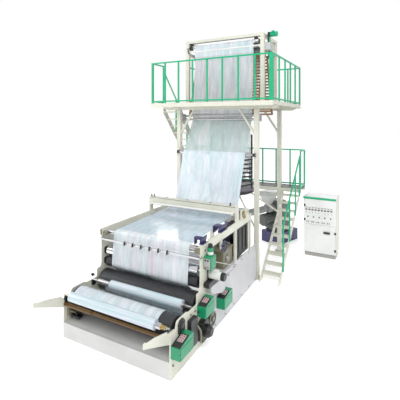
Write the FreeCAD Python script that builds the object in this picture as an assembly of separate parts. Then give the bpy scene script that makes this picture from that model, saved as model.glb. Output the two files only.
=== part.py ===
# Blown film extrusion line: extruder and die under a tower, bubble cage and collapsing frames,
# film led down the tower's front to a two-station surface winder, stairs, platforms, control cabinet.
# Millimetres, +Z up. The origin is on the floor under the die's axis, -Y points at the winder,
# +X is the side with the lower stair and the control cabinet.

import FreeCAD, Part
import math
import os

V = FreeCAD.Vector

# Clearances
bearing_gap = 0.08       # shaft to bearing bore
joint_gap = 3.0          # between neighbouring floor plates and rails
run_gap = 6.0            # round a turning roller
door_gap = 5.0           # round a cabinet door

# Overall layout: the film's width sets the widths of the winder, the tower and the platforms
film_half_x = 800.0
film_t = 3.0
winder_half_x = film_half_x + 250.0
side_plate_t = 20.0
tower_half_x = film_half_x + 220.0
tower_half_y = 930.0
winder_front_y = -tower_half_y - 3600.0
post_size = 100.0
upper_floor_z = 3980.0
upper_half_x = tower_half_x + 520.0
upper_front_y = -tower_half_y - 490.0
upper_rear_y = tower_half_y + 200.0
beam_h = 150.0
edge_beam_h = 95.0
side_beam_h = 70.0
beam_t = 60.0
floor_t = 6.0
mid_floor_z = 1760.0
mid_half_x = upper_half_x + 70.0
mid_front_y = tower_half_y - 60.0
mid_rear_y = mid_front_y + 530.0
mid_beam_h = 100.0
rail_h = 1000.0
rail_size = 32.0
toe_z = 60.0
post_top = upper_floor_z - floor_t - beam_h
guide_bar_z = post_top - 240.0
stair1_foot_y = mid_front_y - 2030.0
blower_y = -tower_half_y - 600.0

side_signs = (-1, 1)
half_rail = rail_size / 2


def wy(distance):
    """Y of a point so far behind the winder's front edge."""
    return winder_front_y + distance


def box(x0, x1, y0, y1, z0, z1):
    return Part.makeBox(abs(x1 - x0), y1 - y0, z1 - z0, V(min(x0, x1), y0, z0))


def cyl_x(x0, x1, y, z, r):
    return Part.makeCylinder(r, abs(x1 - x0), V(min(x0, x1), y, z), V(1, 0, 0))


def cyl_y(y0, y1, x, z, r):
    return Part.makeCylinder(r, y1 - y0, V(x, y0, z), V(0, 1, 0))


def cyl_z(z0, z1, x, y, r):
    return Part.makeCylinder(r, z1 - z0, V(x, y, z0), V(0, 0, 1))


def rounded_wire(corners, x):
    """Closed outline in the plane X = x through (Y, Z, radius) corners, each rounded by its radius."""
    points = [V(x, corner[0], corner[1]) for corner in corners]
    arcs = []
    for i, corner in enumerate(corners):
        p, r = points[i], corner[2]
        if r == 0:
            arcs.append((p, None, p))
            continue
        back = (points[i - 1] - p).normalize()
        ahead = (points[(i + 1) % len(points)] - p).normalize()
        half = back.getAngle(ahead) / 2
        inner = (back + ahead).normalize() * (r / math.sin(half) - r)
        arcs.append((p + back * (r / math.tan(half)), p + inner, p + ahead * (r / math.tan(half))))
    edges = []
    for i, (start, middle, end) in enumerate(arcs):
        if middle is not None:
            edges.append(Part.Arc(start, middle, end).toShape())
        following = arcs[(i + 1) % len(arcs)][0]
        if (following - end).Length > 1e-6:
            edges.append(Part.LineSegment(end, following).toShape())
    return Part.Wire(edges)


def prism_x(points, x0, x1):
    """Solid of an outline of (Y, Z) or (Y, Z, corner radius) points between two X positions."""
    corners = [(tuple(point) + (0,))[:3] for point in points]
    return Part.Face(rounded_wire(corners, min(x0, x1))).extrude(V(abs(x1 - x0), 0, 0))


def winder_prism(points, x0, x1):
    """The same with distances behind the winder's front edge in place of Y."""
    return prism_x([(wy(point[0]),) + tuple(point[1:]) for point in points], x0, x1)


def revolve_z(points):
    """Solid of an (R, Z) outline turned about the die's axis."""
    loop = [V(r, 0, z) for r, z in points]
    face = Part.Face(Part.makePolygon(loop + [loop[0]]))
    return face.revolve(V(0, 0, 0), V(0, 0, 1), 360)


def revolve_x(points, x, y, z, side):
    """Solid of an outline of (distance along X, R) points turned about an axis along X, towards a side."""
    loop = [V(side * along, r, 0) for along, r in points]
    solid = Part.Face(Part.makePolygon(loop + [loop[0]])).revolve(V(0, 0, 0), V(1, 0, 0), 360)
    solid.translate(V(x, y, z))
    return solid


def fuse(solids):
    return solids[0].multiFuse(solids[1:]).removeSplitter()


def bored(solid, x0, x1, y, z, r):
    """The solid with a hole along X."""
    return solid.cut(cyl_x(min(x0, x1) - 1, max(x0, x1) + 1, y, z, r))


def save(name, solids):
    shape = solids[0] if len(solids) == 1 else Part.makeCompound(solids)
    shape.exportStep("parts/" + name + ".step")


def roller(half, r, end, shaft_r, y, z):
    """A roller with a stub shaft at each end, about an axis along X."""
    return fuse([cyl_x(-half, half, y, z, r), cyl_x(-end, end, y, z, shaft_r)])


def motor(length, r):
    """Ribbed motor along X from the origin: flange, ribbed housing, fan cover, terminal box."""
    flange_t, rib_end, cover_x = 0.08 * length, 0.70 * length, 0.76 * length
    shell = revolve_x([(0, 0), (0, r), (flange_t, r), (flange_t, 0.84 * r), (cover_x, 0.84 * r), (cover_x, r),
                       (0.95 * length, r), (length, 0.82 * r), (length, 0)], 0, 0, 0, 1)
    rib_t = 0.07 * r
    ribs = []
    for i in range(motor_ribs):
        rib = box(flange_t, rib_end, -rib_t / 2, rib_t / 2, 0.5 * r, 0.97 * r)
        rib.rotate(V(0, 0, 0), V(1, 0, 0), 360.0 * i / motor_ribs)
        ribs.append(rib)
    terminal = box(0.25 * length, 0.6 * length, -0.4 * r, 0.4 * r, 0.6 * r, 1.35 * r)
    return fuse([shell, terminal] + ribs)


motor_ribs = 12
os.makedirs("parts", exist_ok=True)

# Rollers of the winder: distance behind the front edge, height, radius
plate_inner_x = winder_half_x - side_plate_t
bearing_w = 40.0
drum_r = 190.0
side_gap = 10.0
drum_half = plate_inner_x - bearing_w - side_gap
drum_shaft_r = 35.0
drum_front = (265.0, 545.0)
drum_rear = (905.0, 620.0)
roll_r = 74.0
core_r = 46.0
core_half = plate_inner_x - 150.0
winding_shaft_r = 19.0
roll_spans = {"front": (-core_half - 20.0, core_half - 100.0), "rear": (-core_half + 280.0, core_half - 30.0)}
arm_t = 12.0
winding_shaft_end = plate_inner_x - arm_t - 4.0
roll_front_angle = math.radians(30.0)
roll_rear_angle = math.radians(16.5)
roll_reach = drum_r + roll_r + run_gap
roll_front = (drum_front[0] - roll_reach * math.cos(roll_front_angle),
              drum_front[1] + roll_reach * math.sin(roll_front_angle))
roll_rear = (drum_rear[0] - roll_reach * math.cos(roll_rear_angle),
             drum_rear[1] + roll_reach * math.sin(roll_rear_angle))
nip_rubber = (985.0, 940.0)
nip_rubber_r = 92.0
nip_steel = (990.0, 1130.0)
nip_steel_r = 80.0
guide = (1000.0, 1465.0)
guide_r = 50.0
turn = (2950.0, 1650.0)
turn_r = 60.0
idler_rise = 163.0
idler = (3500.0, (guide_bar_z + turn[1]) / 2 + idler_rise)
idler_r = 55.0
roller_half = plate_inner_x - 70.0
small_shaft_r = 20.0
bearing_size = 120.0
housing_r = 46.0
bearing_flange_t = 16.0

# Winder side plates: a hump at the front drum, a notch for the rear roll, a column under the rails
plate_front_z = 625.0
hump_z = drum_front[1] + drum_r
hump_back_d = drum_front[0] + 175.0
shoulder_z = 705.0
notch_d = drum_rear[0] - 155.0
notch_z = drum_rear[1] + 237.0
step_z = notch_z + 73.0
column_d = 865.0
column_rear_d = 1250.0
rail_z = 1430.0
plate_outline = [
    (0, 0), (0, plate_front_z, 35), (drum_front[0] - 135, plate_front_z, 25), (drum_front[0] - 95, hump_z, 55),
    (hump_back_d, hump_z, 50), (hump_back_d + 65, shoulder_z, 30), (notch_d, shoulder_z, 20), (notch_d, notch_z, 30),
    (column_d - 30, notch_z, 20), (column_d, step_z, 20), (column_d, rail_z), (column_rear_d, rail_z),
    (column_rear_d, 0)]
save("winder_side_plates", [
    winder_prism(plate_outline, s * plate_inner_x, s * winder_half_x) for s in side_signs])
shaft_end = plate_inner_x - 5.0

save("winding_drum_front", [roller(drum_half, drum_r, shaft_end, drum_shaft_r, wy(drum_front[0]), drum_front[1])])
save("winding_drum_rear", [roller(drum_half, drum_r, shaft_end, drum_shaft_r, wy(drum_rear[0]), drum_rear[1])])
save("nip_rubber_roller", [roller(roller_half, nip_rubber_r, shaft_end, small_shaft_r,
                                  wy(nip_rubber[0]), nip_rubber[1])])
save("nip_steel_roller", [roller(roller_half, nip_steel_r, shaft_end, small_shaft_r,
                                 wy(nip_steel[0]), nip_steel[1])])

bearings = []
for s in side_signs:
    x0, x1 = s * plate_inner_x, s * (plate_inner_x - bearing_w)
    for (d, z), r in ((drum_front, drum_shaft_r), (drum_rear, drum_shaft_r),
                      (nip_rubber, small_shaft_r), (nip_steel, small_shaft_r)):
        h = bearing_size / 2
        flange = winder_prism([(d - h, z - h, 30), (d - h, z + h, 30), (d + h, z + h, 30), (d + h, z - h, 30)],
                              x0, s * (plate_inner_x - bearing_flange_t))
        block = fuse([flange, cyl_x(x0, x1, wy(d), z, housing_r)])
        bearings.append(bored(block, x0, x1, wy(d), z, r + bearing_gap))

# Film rolls on winding shafts that lie in open saddles, the front ones over the front cross tube
cross_tube_r = 32.0
sleeve_r = 40.0
sleeve_length = 604.0
tube_front = (20.0, 550.0)
tube_rear = (560.0, 430.0)
saddle_w = 30.0
saddle_half = 40.0
saddle_gap = 2.0
saddle_depth = roll_front[1] - tube_front[1] - sleeve_r - saddle_gap
for name, (d, z) in (("front", roll_front), ("rear", roll_rear)):
    x0, x1 = roll_spans[name]
    film = bored(cyl_x(x0, x1, wy(d), z, roll_r), x0, x1, wy(d), z, core_r)
    save("film_roll_" + name, [film])
    save("winding_shaft_" + name, [roller(core_half, core_r, winding_shaft_end, winding_shaft_r, wy(d), z)])
for (d, z), outer_x in ((roll_front, plate_inner_x - arm_t), (roll_rear, plate_inner_x)):
    for s in side_signs:
        x0, x1 = s * (outer_x - saddle_w), s * outer_x
        saddle = winder_prism([(d - saddle_half, z - saddle_depth, 20), (d - saddle_half, z + 4, 8),
                               (d + saddle_half, z + 4, 8), (d + saddle_half, z - saddle_depth, 20)], x0, x1)
        bore_r = winding_shaft_r + bearing_gap
        slot = box(x0, x1, wy(d) - bore_r, wy(d) + bore_r, z, z + 10)
        bearings.append(bored(saddle, x0, x1, wy(d), z, bore_r).cut(slot))

# Arms that take the finished roll
arm_outline = [
    (140, 470, 30), (0, 490, 60), (-545, 735, 20), (-575, 745, 8), (-575, 815, 15), (-540, 815, 15),
    (-500, 790, 40), (-330, 765, 80), (-50, 690, 20), (-50, 655, 20), (140, 640, 30)]
save("unload_arms", [winder_prism(arm_outline, s * (plate_inner_x - arm_t), s * plate_inner_x) for s in side_signs])
arm_inner_x = plate_inner_x - arm_t
save("cross_tubes", [
    fuse([cyl_x(-arm_inner_x, arm_inner_x, wy(tube_front[0]), tube_front[1], cross_tube_r),
          cyl_x(-arm_inner_x, -arm_inner_x + sleeve_length, wy(tube_front[0]), tube_front[1], sleeve_r)]),
    cyl_x(-plate_inner_x, plate_inner_x, wy(tube_rear[0]), tube_rear[1], cross_tube_r)])

# Front panel with a folded ledge, and the tray behind it
front_panel_z = 240.0
ledge_w = 45.0
sheet_t = 5.0
tray_rear_d = 420.0
tray_rear_z = 330.0
save("front_panel", [fuse([
    box(-plate_inner_x, plate_inner_x, wy(0), wy(sheet_t), 0, front_panel_z),
    box(-plate_inner_x, plate_inner_x, wy(0), wy(ledge_w), front_panel_z - sheet_t, front_panel_z)])])
save("tray_panel", [winder_prism([
    (ledge_w, front_panel_z - sheet_t), (ledge_w, front_panel_z),
    (tray_rear_d, tray_rear_z), (tray_rear_d, tray_rear_z - sheet_t)], -plate_inner_x, plate_inner_x)])

# Long base under the web between the winder and the tower
base_z = 820.0
foot = 220.0
foot_clear = 10.0
base_end_y = -tower_half_y - foot / 2 - foot_clear
deck_end_d = 2360.0
deck_t = 25.0
save("base_panels", [
    box(s * plate_inner_x, s * winder_half_x, wy(column_rear_d), base_end_y, 0, base_z) for s in side_signs])
save("base_deck", [box(-plate_inner_x, plate_inner_x, wy(column_rear_d), wy(deck_end_d), base_z - deck_t, base_z)])

# Rails that carry the web's rollers, with legs and the turning roller's plates
top_rail_h = 130.0
top_rail_w = 40.0
top_rail_front_d = 850.0
top_rail_end_d = 3180.0
leg_w = 60.0
leg_ds = (2290.0, 3090.0)
rail_x0 = winder_half_x - top_rail_w
rail_top_z = rail_z + top_rail_h
turn_plate_half = 70.0
rails = []
for s in side_signs:
    x0, x1 = s * rail_x0, s * winder_half_x
    rail = fuse([
        box(x0, x1, wy(top_rail_front_d), wy(top_rail_end_d), rail_z, rail_top_z),
        box(x0, x1, wy(turn[0] - turn_plate_half), wy(turn[0] + turn_plate_half),
            rail_top_z, turn[1] + turn_plate_half)]
        + [box(x0, x1, wy(d), wy(d) + leg_w, base_z, rail_z) for d in leg_ds])
    for d, z in (guide, turn):
        rail = bored(rail, x0, x1, wy(d), z, small_shaft_r + bearing_gap)
    rails.append(rail)
save("take_up_rails", rails)
rail_shaft_end = winder_half_x + 15.0
save("top_guide_roller", [roller(roller_half, guide_r, rail_shaft_end, small_shaft_r, wy(guide[0]), guide[1])])
save("turn_roller", [roller(roller_half, turn_r, rail_shaft_end, small_shaft_r, wy(turn[0]), turn[1])])

# Cross beam over the web, on a block at each rail
cross_d = 2350.0
cross_w = 110.0
cross_z0 = 1700.0
cross_z1 = 1875.0
groove_w = 40.0
cross = [box(-winder_half_x, winder_half_x, wy(cross_d), wy(cross_d + cross_w), cross_z0, cross_z1).cut(
    box(-winder_half_x + 90, winder_half_x - 90, wy(cross_d + 35), wy(cross_d + 35 + groove_w),
        cross_z1 - 20, cross_z1 + 5))]
for s in side_signs:
    cross.append(box(s * rail_x0, s * winder_half_x, wy(cross_d), wy(cross_d + cross_w), rail_top_z, cross_z0))
save("cross_beam", [fuse(cross)])

# Slitter bar with its knife holders, on the columns' front edges
slit_size = 30.0
slit_z = 1360.0
knife_w = 30.0
knife_xs = [-450.0 + 180.0 * i for i in range(6)]
slit = [box(-winder_half_x, winder_half_x, wy(column_d - slit_size), wy(column_d), slit_z, slit_z + slit_size)]
for x in knife_xs:
    slit.append(box(x - knife_w / 2, x + knife_w / 2, wy(column_d - slit_size - 14), wy(column_d - slit_size),
                    slit_z - 10, slit_z + 60))
save("slitter_bar", [fuse(slit)])

# Control boxes on the right side: distance and height ranges, width
side_boxes = ((0.0, 370.0, 300.0, 530.0, 150.0), (747.0, 1056.0, 512.0, 742.0, 150.0),
              (1440.0, 1790.0, 322.0, 562.0, 150.0))
upper_box = (960.0, 1153.0, 1170.0, 1374.0, 130.0)
collar_r = 48.0
collar_z = 1500.0
lid_in = 14.0
lid_t = 5.0
slope_h = 55.0


def control_box(d0, d1, z0, z1, w, slope):
    """Rounded box on the right side plate with a top that slopes to the front, and a lid on its outer face."""
    body = winder_prism([(d0, z0, 14), (d0, z1 - slope, 10), (d0 + 0.7 * (d1 - d0), z1, 10), (d1, z1, 10),
                         (d1, z0, 14)], winder_half_x, winder_half_x + w)
    lid = winder_prism([(d0 + lid_in, z0 + lid_in, 10), (d0 + lid_in, z1 - slope - lid_in, 10),
                        (d1 - lid_in, z1 - slope - lid_in, 10), (d1 - lid_in, z0 + lid_in, 10)],
                       winder_half_x + w, winder_half_x + w + lid_t)
    return fuse([body, lid])


boxes = [control_box(d0, d1, z0, z1, w, slope_h) for d0, d1, z0, z1, w in side_boxes]
d0, d1, z0, z1, w = upper_box
collar_x = winder_half_x + w / 2
boxes.append(fuse([control_box(d0, d1, z0, z1, w, 1.0), cyl_z(z1 - 20, collar_z, collar_x, wy(1080), collar_r),
                   cyl_z(z1 - 20, z1 + 12, collar_x, wy(1080), collar_r + 12)]))
save("drive_boxes", boxes)

# Motors and gears on the right side
motor_place = (1150.0, 1030.0)
motor_r = 66.0
motor_length = 300.0
pulley_place = (1130.0, 320.0)
pulley_r = 120.0
pulley_w = 50.0
pulley_x = winder_half_x + 40.0
gear_d, gear_z = 870.0, 270.0
gear_r = 95.0
winder_motor = motor(motor_length, motor_r)
winder_motor.translate(V(winder_half_x, wy(motor_place[0]), motor_place[1]))
pulley = revolve_x([(-40, 0), (-40, 45), (0, 45), (0, pulley_r), (10, pulley_r), (10, pulley_r - 12),
                    (pulley_w - 10, pulley_r - 12), (pulley_w - 10, pulley_r), (pulley_w, pulley_r),
                    (pulley_w, pulley_r - 25), (pulley_w - 15, pulley_r - 25), (pulley_w - 15, 40),
                    (pulley_w + 12, 40), (pulley_w + 12, 0)], pulley_x, wy(pulley_place[0]), pulley_place[1], 1)
gear_case = fuse([
    winder_prism([(gear_d - 110, gear_z - 150, 30), (gear_d - 110, gear_z + 150, 60), (gear_d + 110, gear_z + 150, 60),
                  (gear_d + 110, gear_z - 150, 30)], winder_half_x, winder_half_x + 90),
    revolve_x([(0, 0), (0, gear_r), (60, gear_r), (110, gear_r - 35), (110, 0)],
              winder_half_x + 90, wy(gear_d), gear_z, 1)])
save("side_drives", [
    winder_motor, pulley, gear_case,
    winder_prism([(450, 200, 15), (450, 600, 15), (650, 600, 15), (650, 200, 15)], winder_half_x, winder_half_x + 70),
    winder_prism([(960, 875, 15), (960, 955, 15), (1300, 955, 15), (1300, 875, 15)],
                 winder_half_x, winder_half_x + 100)])
save("belt_guard", [winder_prism([(1062, 750, 40), (1062, 865, 30), (1620, 830, 40), (1620, 610, 50), (1500, 590, 40)],
                                 winder_half_x, winder_half_x + 90)])

# Hand wheel of the web's take-up, on a plate under the right rail
wheel = (1650.0, 1330.0)
wheel_r = 100.0
wheel_rim = 14.0
wheel_x = winder_half_x + 45.0
hub_r = 14.0
save("wheel_plate", [bored(box(plate_inner_x, winder_half_x, wy(wheel[0] - 40), wy(wheel[0] + 40), wheel[1] - 50, rail_z),
                           plate_inner_x, winder_half_x, wy(wheel[0]), wheel[1], hub_r + bearing_gap)])
rim = cyl_x(wheel_x, wheel_x + wheel_rim, wy(wheel[0]), wheel[1], wheel_r).cut(
    cyl_x(wheel_x, wheel_x + wheel_rim, wy(wheel[0]), wheel[1], wheel_r - wheel_rim))
spokes = [box(wheel_x + 2, wheel_x + wheel_rim - 2, wy(wheel[0]) - wheel_r + 5, wy(wheel[0]) + wheel_r - 5,
              wheel[1] - 7, wheel[1] + 7),
          box(wheel_x + 2, wheel_x + wheel_rim - 2, wy(wheel[0]) - 7, wy(wheel[0]) + 7,
              wheel[1] - wheel_r + 5, wheel[1] + wheel_r - 5)]
save("hand_wheel", [fuse([rim, cyl_x(plate_inner_x, wheel_x + wheel_rim + 4, wy(wheel[0]), wheel[1], hub_r)] + spokes)])

# Tower posts on foot plates
foot_t = 20.0
foot_hole_r = 11.0
foot_hole_pitch = 160.0
post_boxes = {}
posts = []
for sx in side_signs:
    for sy in side_signs:
        cx, cy = sx * tower_half_x, sy * tower_half_y
        plate = box(cx - foot / 2, cx + foot / 2, cy - foot / 2, cy + foot / 2, 0, foot_t)
        for hx in side_signs:
            for hy in side_signs:
                plate = plate.cut(cyl_z(-1, foot_t + 1, cx + hx * foot_hole_pitch / 2,
                                        cy + hy * foot_hole_pitch / 2, foot_hole_r))
        post_boxes[(sx, sy)] = box(cx - post_size / 2, cx + post_size / 2, cy - post_size / 2, cy + post_size / 2,
                                   foot_t, post_top)
        posts.append(fuse([plate, post_boxes[(sx, sy)]]))
save("tower_posts", posts)

# Upper platform, open on the left behind its front strip, where the upper stair comes up
beam_z1 = post_top + beam_h
hatch_x = -tower_half_x - 50.0
hatch_y = -tower_half_y + beam_t / 2
front_beam_y = -tower_half_y - beam_t / 2
rear_beam_y = tower_half_y - beam_t / 2
end_beam_y = upper_rear_y - beam_t
taper_x = tower_half_x + 350.0


def main_beam(x0, x1, y):
    """Beam along X over the posts; an end that reaches a platform's edge tapers up to the side beam's height."""
    outline = []
    for x, sign in ((x0, -1), (x1, 1)):
        reach = [V(x, y, beam_z1), V(x, y, beam_z1 - side_beam_h), V(sign * taper_x, y, post_top)]
        if abs(x) < upper_half_x:
            reach = [V(x, y, beam_z1), V(x, y, post_top)]
        outline += reach if sign < 0 else reach[::-1]
    return Part.Face(Part.makePolygon(outline + [outline[0]])).extrude(V(0, beam_t, 0))


edge_z0 = beam_z1 - edge_beam_h
beams_x = [box(-upper_half_x, upper_half_x, upper_front_y, upper_front_y + beam_t, edge_z0, beam_z1),
           box(hatch_x, upper_half_x, end_beam_y, end_beam_y + beam_t, edge_z0, beam_z1),
           main_beam(-upper_half_x, upper_half_x, front_beam_y), main_beam(hatch_x, upper_half_x, rear_beam_y)]
strips = ((-upper_half_x, side_beam_h), (-tower_half_x - beam_t / 2, edge_beam_h),
          (tower_half_x - beam_t / 2, edge_beam_h), (upper_half_x - beam_t, side_beam_h))
beams_y = [box(x, x + beam_t, upper_front_y + beam_t, front_beam_y, beam_z1 - h, beam_z1) for x, h in strips]
for a, b in ((front_beam_y + beam_t, rear_beam_y), (rear_beam_y + beam_t, end_beam_y)):
    beams_y += [box(x, x + beam_t, a, b, beam_z1 - h, beam_z1) for x, h in strips[1:]]

# Middle platform behind the tower: arms on the rear posts, beams across them
mid_z1 = mid_floor_z - floor_t
mid_z0 = mid_z1 - mid_beam_h
beams_x.append(box(-mid_half_x, mid_half_x, mid_rear_y - beam_t, mid_rear_y, mid_z0, mid_z1))
post_in = tower_half_x - post_size / 2
post_out = tower_half_x + post_size / 2
for x0, x1 in ((-post_in, post_in), (-mid_half_x, -post_out), (post_out, mid_half_x)):
    beams_x.append(box(x0, x1, mid_front_y, mid_front_y + beam_t, mid_z0, mid_z1))
post_rear_y = tower_half_y + post_size / 2
for s in side_signs:
    cx = s * tower_half_x
    beams_y.append(box(cx - beam_t / 2, cx + beam_t / 2, post_rear_y, mid_rear_y - beam_t, mid_z0, mid_z1))
save("platform_beams_x", beams_x)
save("platform_beams_y", beams_y)

well_half_x = tower_half_x - 60.0
mid_floor = box(-mid_half_x, mid_half_x, mid_front_y, mid_rear_y, mid_z1, mid_floor_z)
for s in side_signs:
    mid_floor = mid_floor.cut(box(s * tower_half_x - post_size / 2 - 2, s * tower_half_x + post_size / 2 + 2,
                                  mid_front_y - 1, post_rear_y + 2, mid_z1 - 1, mid_floor_z + 1))
save("platform_floors", [
    box(-upper_half_x, upper_half_x, upper_front_y, hatch_y, beam_z1, upper_floor_z),
    box(well_half_x, upper_half_x, hatch_y + joint_gap, upper_rear_y, beam_z1, upper_floor_z),
    box(hatch_x, -well_half_x, hatch_y + joint_gap, upper_rear_y, beam_z1, upper_floor_z),
    box(-well_half_x + joint_gap, well_half_x - joint_gap, rear_beam_y, upper_rear_y, beam_z1, upper_floor_z),
    mid_floor])


def bar_between(p, q, width, cutters):
    """Square bar from p to q, trimmed by the pieces that it meets."""
    run = V(*q) - V(*p)
    bar = Part.makeBox(width, width, run.Length, V(-width / 2, -width / 2, 0))
    bar.rotate(V(0, 0, 0), V(0, 0, 1).cross(run), math.degrees(V(0, 0, 1).getAngle(run)))
    bar.translate(V(*p))
    for cutter in cutters:
        bar = bar.cut(cutter)
    return bar


brace_w = 45.0
strut_w = 36.0
brace_low_z = post_top - 640.0
brace_run = 460.0
far = 3000.0
above_posts = box(-far, far, -far, far, post_top, post_top + far)
above_mid = box(-far, far, -far, far, mid_z0, mid_z0 + far)
braces = []
for sx in side_signs:
    for sy in side_signs:
        braces.append(bar_between((sx * tower_half_x, sy * tower_half_y, brace_low_z),
                                  (sx * (tower_half_x - brace_run), sy * tower_half_y, post_top + 60), brace_w,
                                  [above_posts, post_boxes[(sx, sy)]]))
    braces.append(bar_between((sx * tower_half_x, tower_half_y, mid_z0 - 500),
                              (sx * tower_half_x, mid_rear_y - 150, mid_z0 + 30), brace_w,
                              [above_mid, post_boxes[(sx, 1)]]))
strut_low_z = 1050.0
strut_in = 0.30
ring_z = 1690.0
above_ring = box(-far, far, -far, far, ring_z, ring_z + far)
for sx in side_signs:
    for sy in side_signs:
        braces.append(bar_between((sx * tower_half_x, sy * tower_half_y, strut_low_z),
                                  (sx * tower_half_x * strut_in, sy * tower_half_y * strut_in, ring_z + 40),
                                  strut_w, [above_ring, post_boxes[(sx, sy)]]))
save("knee_braces", braces)


def even(start, end, spans):
    """Places of uprights from end to end of a rail."""
    return [(math.dist(start, end) - rail_size) * i / spans for i in range(spans + 1)]


def rail_panel(start, end, floor_z, places):
    """Guard rail from start to end (X, Y): uprights at the given places, a top and a low rail, square tube."""
    s = rail_size
    length = math.dist(start, end)
    bars = [Part.makeBox(s, s, rail_h, V(place, -s / 2, 0)) for place in places]
    bars.append(Part.makeBox(length, s, s, V(0, -s / 2, rail_h - s)))
    bars.append(Part.makeBox(length, s, s, V(0, -s / 2, toe_z - s)))
    panel = fuse(bars)
    panel.rotate(V(0, 0, 0), V(0, 0, 1), math.degrees(math.atan2(end[1] - start[1], end[0] - start[0])))
    panel.translate(V(start[0], start[1], floor_z))
    return panel


corner_post = 80.0
top_half_x = tower_half_x
top_half_y = 505.0
top_post = 90.0
half_top_post = top_post / 2
rail_edge_x = upper_half_x - half_rail
front_rail_y = upper_front_y + half_rail
rear_rail_y = upper_rear_y - half_rail
corner_x = upper_half_x - corner_post
front_pitch = (2 * upper_half_x - rail_size) / 8
right_start = (rail_edge_x, upper_front_y + corner_post)
right_end = (rail_edge_x, upper_rear_y - rail_size)
right_pitch = (math.dist(right_start, right_end) + corner_post / 2 - half_rail) / 5
save("upper_rail_front", [
    rail_panel((-upper_half_x, front_rail_y), (corner_x, front_rail_y), upper_floor_z,
               [front_pitch * i for i in range(8)]),
    box(corner_x, upper_half_x, upper_front_y, upper_front_y + corner_post, upper_floor_z, upper_floor_z + rail_h)])
save("upper_rail_right", [rail_panel(right_start, right_end, upper_floor_z,
                                     [right_pitch * i - corner_post / 2 - half_rail for i in range(1, 6)])])


def even_panel(start, end, floor_z, spans):
    return rail_panel(start, end, floor_z, even(start, end, spans))


save("upper_rail_rear", [even_panel((hatch_x, rear_rail_y), (upper_half_x, rear_rail_y), upper_floor_z, 8)])
well_rail_x = hatch_x + half_rail
save("upper_rail_left", [
    even_panel((-rail_edge_x, upper_front_y + rail_size), (-rail_edge_x, hatch_y), upper_floor_z, 1),
    even_panel((well_rail_x, -top_half_y + half_top_post), (well_rail_x, top_half_y - half_top_post),
               upper_floor_z, 2),
    even_panel((well_rail_x, top_half_y + half_top_post), (well_rail_x, upper_rear_y - rail_size),
               upper_floor_z, 1)])
mid_edge_x = mid_half_x - half_rail
mid_rear_rail_y = mid_rear_y - half_rail
save("mid_rails", [even_panel((-mid_half_x, mid_rear_rail_y), (mid_half_x, mid_rear_rail_y), mid_floor_z, 8)] + [
    even_panel((s * mid_edge_x, mid_front_y), (s * mid_edge_x, mid_rear_y - rail_size), mid_floor_z, 1)
    for s in side_signs])

# Frame over the upper platform, with the beams that carry the nip rollers
top_frame_h = 1650.0
top_z = upper_floor_z + top_frame_h
top_beam_h = 65.0
nip_h = 1320.0
nip_z = upper_floor_z + nip_h
nip_beam_h = 80.0
nip_beam_z0 = nip_z - 60.0
save("top_frame_uprights", [
    box(sx * top_half_x - half_top_post, sx * top_half_x + half_top_post,
        sy * top_half_y - half_top_post, sy * top_half_y + half_top_post, upper_floor_z, top_z)
    for sx in side_signs for sy in side_signs])
top_inner_x = top_half_x - half_top_post
top_inner_y = top_half_y - half_top_post
top_beams = [box(-top_inner_x, top_inner_x, s * top_half_y - half_top_post, s * top_half_y + half_top_post,
                 top_z - top_beam_h, top_z) for s in side_signs]
for s in side_signs:
    x0, x1 = s * top_half_x - half_top_post, s * top_half_x + half_top_post
    top_beams.append(box(x0, x1, -top_inner_y, top_inner_y, top_z - top_beam_h, top_z))
    top_beams.append(box(x0, x1, -top_inner_y, top_inner_y, nip_beam_z0, nip_beam_z0 + nip_beam_h))
save("top_frame_beams", top_beams)

# Stairs: stringers as flat plates, treads between them, a handrail outside one stringer
tread_t = 30.0
stringer_t = 12.0
handrail_h = 960.0


def flight(x0, x1, foot_at, head_at, steps, depth):
    """Stringers and treads of one flight between (Y, Z) points at its foot and its head."""
    (y0, z0), (y1, z1) = foot_at, head_at
    rise, run = (z1 - z0) / steps, (y1 - y0) / steps
    lean = math.atan2(z1 - z0, abs(y1 - y0))
    drop = depth / math.cos(lean)
    foot_y = y0 + math.copysign(drop / math.tan(lean), y1 - y0)
    line = [(y0, z0), (y1, z1 - tread_t), (y1, z1 - tread_t - drop), (foot_y, z0)]
    stringers = [prism_x(line, x0, x0 + stringer_t), prism_x(line, x1 - stringer_t, x1)]
    treads = []
    for i in range(1, steps):
        yc, zc = y0 + run * (i + 0.5), z0 + rise * i
        treads.append(box(x0 + stringer_t, x1 - stringer_t, yc - abs(run) / 2, yc + abs(run) / 2, zc - tread_t, zc))
    return stringers, treads


def handrail(x, foot_at, head_at, shares):
    """Sloping rail in the plane X = x over a flight, with uprights fixed to the stringer's side."""
    (y0, z0), (y1, z1) = foot_at, head_at
    z1 = z1 - tread_t
    slope = (z1 - z0) / (y1 - y0)

    def at(share):
        return y0 + (y1 - y0) * share, z0 + (z1 - z0) * share

    (ya, za), (yb, zb) = at(shares[0]), at(shares[-1])
    bars = [prism_x([(ya, za + handrail_h - rail_size), (ya, za + handrail_h),
                     (yb, zb + handrail_h), (yb, zb + handrail_h - rail_size)], x - half_rail, x + half_rail)]
    grow = math.copysign(half_rail, y1 - y0)
    for share in shares:
        y, z = at(share)
        y = y + grow if share == shares[0] else y - grow if share == shares[-1] else y
        z = z0 + slope * (y - y0)
        low, top = z - rail_size * 2, z + handrail_h - half_rail
        bars.append(prism_x([(y - half_rail, low - slope * half_rail), (y + half_rail, low + slope * half_rail),
                             (y + half_rail, top + slope * half_rail), (y - half_rail, top - slope * half_rail)],
                            x - half_rail, x + half_rail))
    return fuse(bars)


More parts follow.
